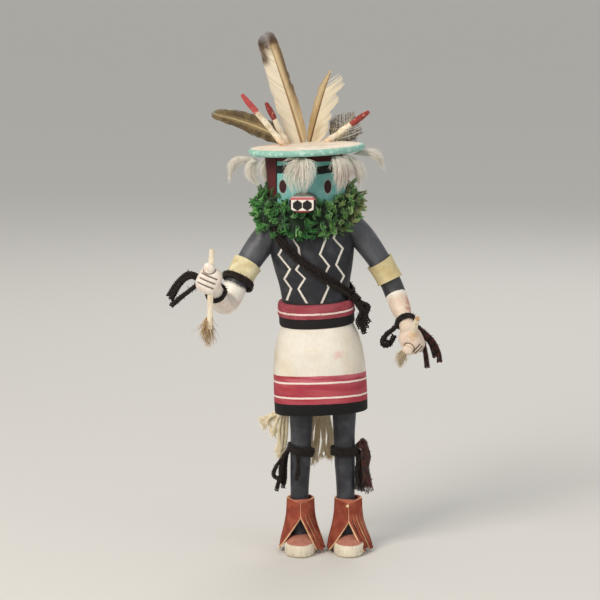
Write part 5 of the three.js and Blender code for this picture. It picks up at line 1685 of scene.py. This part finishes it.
def wrap_shell(side, seed):
    """The suede as one open sheet: columns from the left edge of its front round the back to the right."""
    draw = np.random.default_rng(seed)
    levels = smooth_rows(WRAP_LEVELS, 6)
    centre = FEET_MIDDLE + WRAP_PLACE[side]
    cuts = [0, *FRINGE_CUTS, 1]
    columns, marks = [], []
    for number in range(len(cuts) - 1):
        strip = number < len(cuts) - 2
        flare, drop, twist = draw.uniform(-0.4, 2.6), draw.uniform(-1.6, 1), draw.uniform(-2.2, 2.2)
        start = CUT_TOPS[0] if cuts[number] < 0.3 else CUT_TOPS[1]
        for k, place in enumerate(np.linspace(cuts[number], cuts[number + 1], 4 if strip else 14)):
            within = k / 3 - 0.5 if strip else 0
            narrowing = ((k == 0) - (k == 3)) * STRIP_TAPER if strip else 0
            column = []
            for part, half_width, half_depth, shift in levels:
                low = max(0, start - part) / start
                below = max(0, OPENING_TOP[side] - WRAP_HEIGHT * part)
                edges = [math.asin(min(0.97, (slope * below + 0.1) / half_width)) for slope in OPENING_SLOPES]
                at = place + narrowing * min(1, low * 3)
                turn = edges[0] + at * (2 * math.pi - edges[0] - edges[1])
                rim = min(place, 1 - place) * 2 * math.pi * half_width
                loose = EDGE_CURL * math.exp(-rim / EDGE_CURL) + (flare + twist * within) * low ** 1.5 * strip
                height = WRAP_HEIGHT * part - drop * low ** 2 * strip
                if part > 0.9:
                    height -= NECK_DIP * max(0, math.cos(turn)) ** 6 * (part - 0.9) * 10
                x = (half_width + loose) * math.sin(turn)
                column.append([centre + x, shift - (half_depth + loose) * math.cos(turn), height])
            columns.append(column)
            marks.append(number)
    rows = len(levels)
    faces = []
    for k in range(len(columns) - 1):
        if marks[k] == marks[k + 1]:
            for level in range(rows - 1):
                a = k * rows + level
                faces.append([a, a + rows, a + rows + 1, a + 1])
    return np.array(columns).reshape(-1, 3), faces


suede_coat = suede("terracotta suede", "8c4232", "a05a45", "692b20")
edge_coat = suede("raw suede edge", "e6bf98", "cfa27a", "b98a62")
inner_coat = suede("suede inside", "a4604f", "b8735f", "854334")
for side, name in ((-1, "right"), (1, "left")):
    flat, faces = wrap_shell(side, 130 + side)
    wrap = make_object("suede_wrap_" + name, [(flat, faces, suede_coat)], 60)
    wrap.data.materials.append(edge_coat)
    weld = wrap.modifiers.new("weld", "WELD")
    weld.merge_threshold = 0.01 * MM
    hide_wall = wrap.modifiers.new("thickness", "SOLIDIFY")
    hide_wall.thickness = WRAP_WALL * MM
    hide_wall.offset = -1
    hide_wall.material_offset_rim = 1
    evaluated_mesh(wrap)
    hand_over(wrap, "wrap_leather", "ankle_wrap_" + name)
    rings = []
    centre = FEET_MIDDLE + WRAP_PLACE[side]
    for wall, levels in ((0, CUFF["levels"][::-1]), (CUFF["wall"], CUFF["levels"])):
        half_width, half_depth = (half + wall for half in CUFF["half_sizes"])
        for height in levels:
            ring = oval((centre - 0.2 * side, 0.1, height), half_width, half_depth, 40, 0, 2)
            angle = np.arctan2(ring[:, 1], ring[:, 0] - centre)
            ring[:, 2] += 0.3 * np.sin(3 * angle + side) * (height > 29)
            rings.append(ring)
    cuff = make_object("suede_cuff_" + name, [(*skin(rings, loop=True), inner_coat)], 60)
    hand_over(cuff, "wrap_leather")

# A pale headed pin holds the left wrap closed at the top of its front.
PIN = {"at": [25.4, -9.5, 27.6], "radius": 0.9}
finish = Finish("pin head", "e8d3a6", 0.45)
finish.coat("c39c63", finish.point.noise(0.8, 2).above(0.6, 0.1) * 0.5)
points, faces = ball([PIN["radius"]] * 3, 2, 16, 10)
pin = make_object("wrap_pin", [(points + np.array(PIN["at"]), faces, brush(finish, 0.3))])
hand_over(pin, "wrap_leather")

# The floor and the light: a plain pale floor, a large soft lamp at the upper left and weaker fill.
FLOOR_REACH = 40.0  # metres each way
LAMP_AIM = np.array([0, 0, 0.15])
LAMPS = [  # name, place and size in metres, watts, colour
    ("key", (-0.75, -0.95, 1.05), 0.6, 15.0, "fff6ea"),
    ("fill", (1.1, -0.9, 0.6), 0.9, 2.4, "f2f5ff"),
    ("back", (0.3, 1.2, 1.1), 0.8, 5.0, "ffffff"),
]
ROOM_LIGHT = 0.68

floor_mesh = bpy.data.meshes.new("floor")
corners = [(x * FLOOR_REACH, y * FLOOR_REACH, 0) for x, y in ((-1, -1), (1, -1), (1, 1), (-1, 1))]
floor_mesh.from_pydata(corners, [], [(0, 1, 2, 3)])
pale = bpy.data.materials.new("pale floor")
pale.use_nodes = True
pale.node_tree.nodes["Principled BSDF"].inputs["Base Color"].default_value = tone("d4d2ce")
pale.node_tree.nodes["Principled BSDF"].inputs["Roughness"].default_value = 0.9
floor_mesh.materials.append(pale)
add_object("floor", floor_mesh)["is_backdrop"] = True
for name, spot, size, power, colour in LAMPS:
    lamp = bpy.data.lights.new(name, "AREA")
    lamp.size = size
    lamp.energy = power
    lamp.color = tone(colour)[:3]
    lit = add_object(name, lamp)
    lit.location = spot
    aim = LAMP_AIM - np.array(spot)
    flat_run = math.hypot(aim[0], aim[1])
    lit.rotation_euler = (math.atan2(flat_run, -aim[2]), 0, math.atan2(aim[1], aim[0]) - math.pi / 2)
    lit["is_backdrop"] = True
world = bpy.data.worlds.new("room")
world.use_nodes = True
world.node_tree.nodes["Background"].inputs[0].default_value = tone("eeedea")
world.node_tree.nodes["Background"].inputs[1].default_value = ROOM_LIGHT
bpy.context.scene.world = world
bpy.context.scene.view_settings.view_transform = "Standard"

visual_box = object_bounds()
boxes = {"cad": cad_box, "visual": visual_box}
plain = {name: [[float(v) for v in corner] for corner in box] for name, box in boxes.items()}
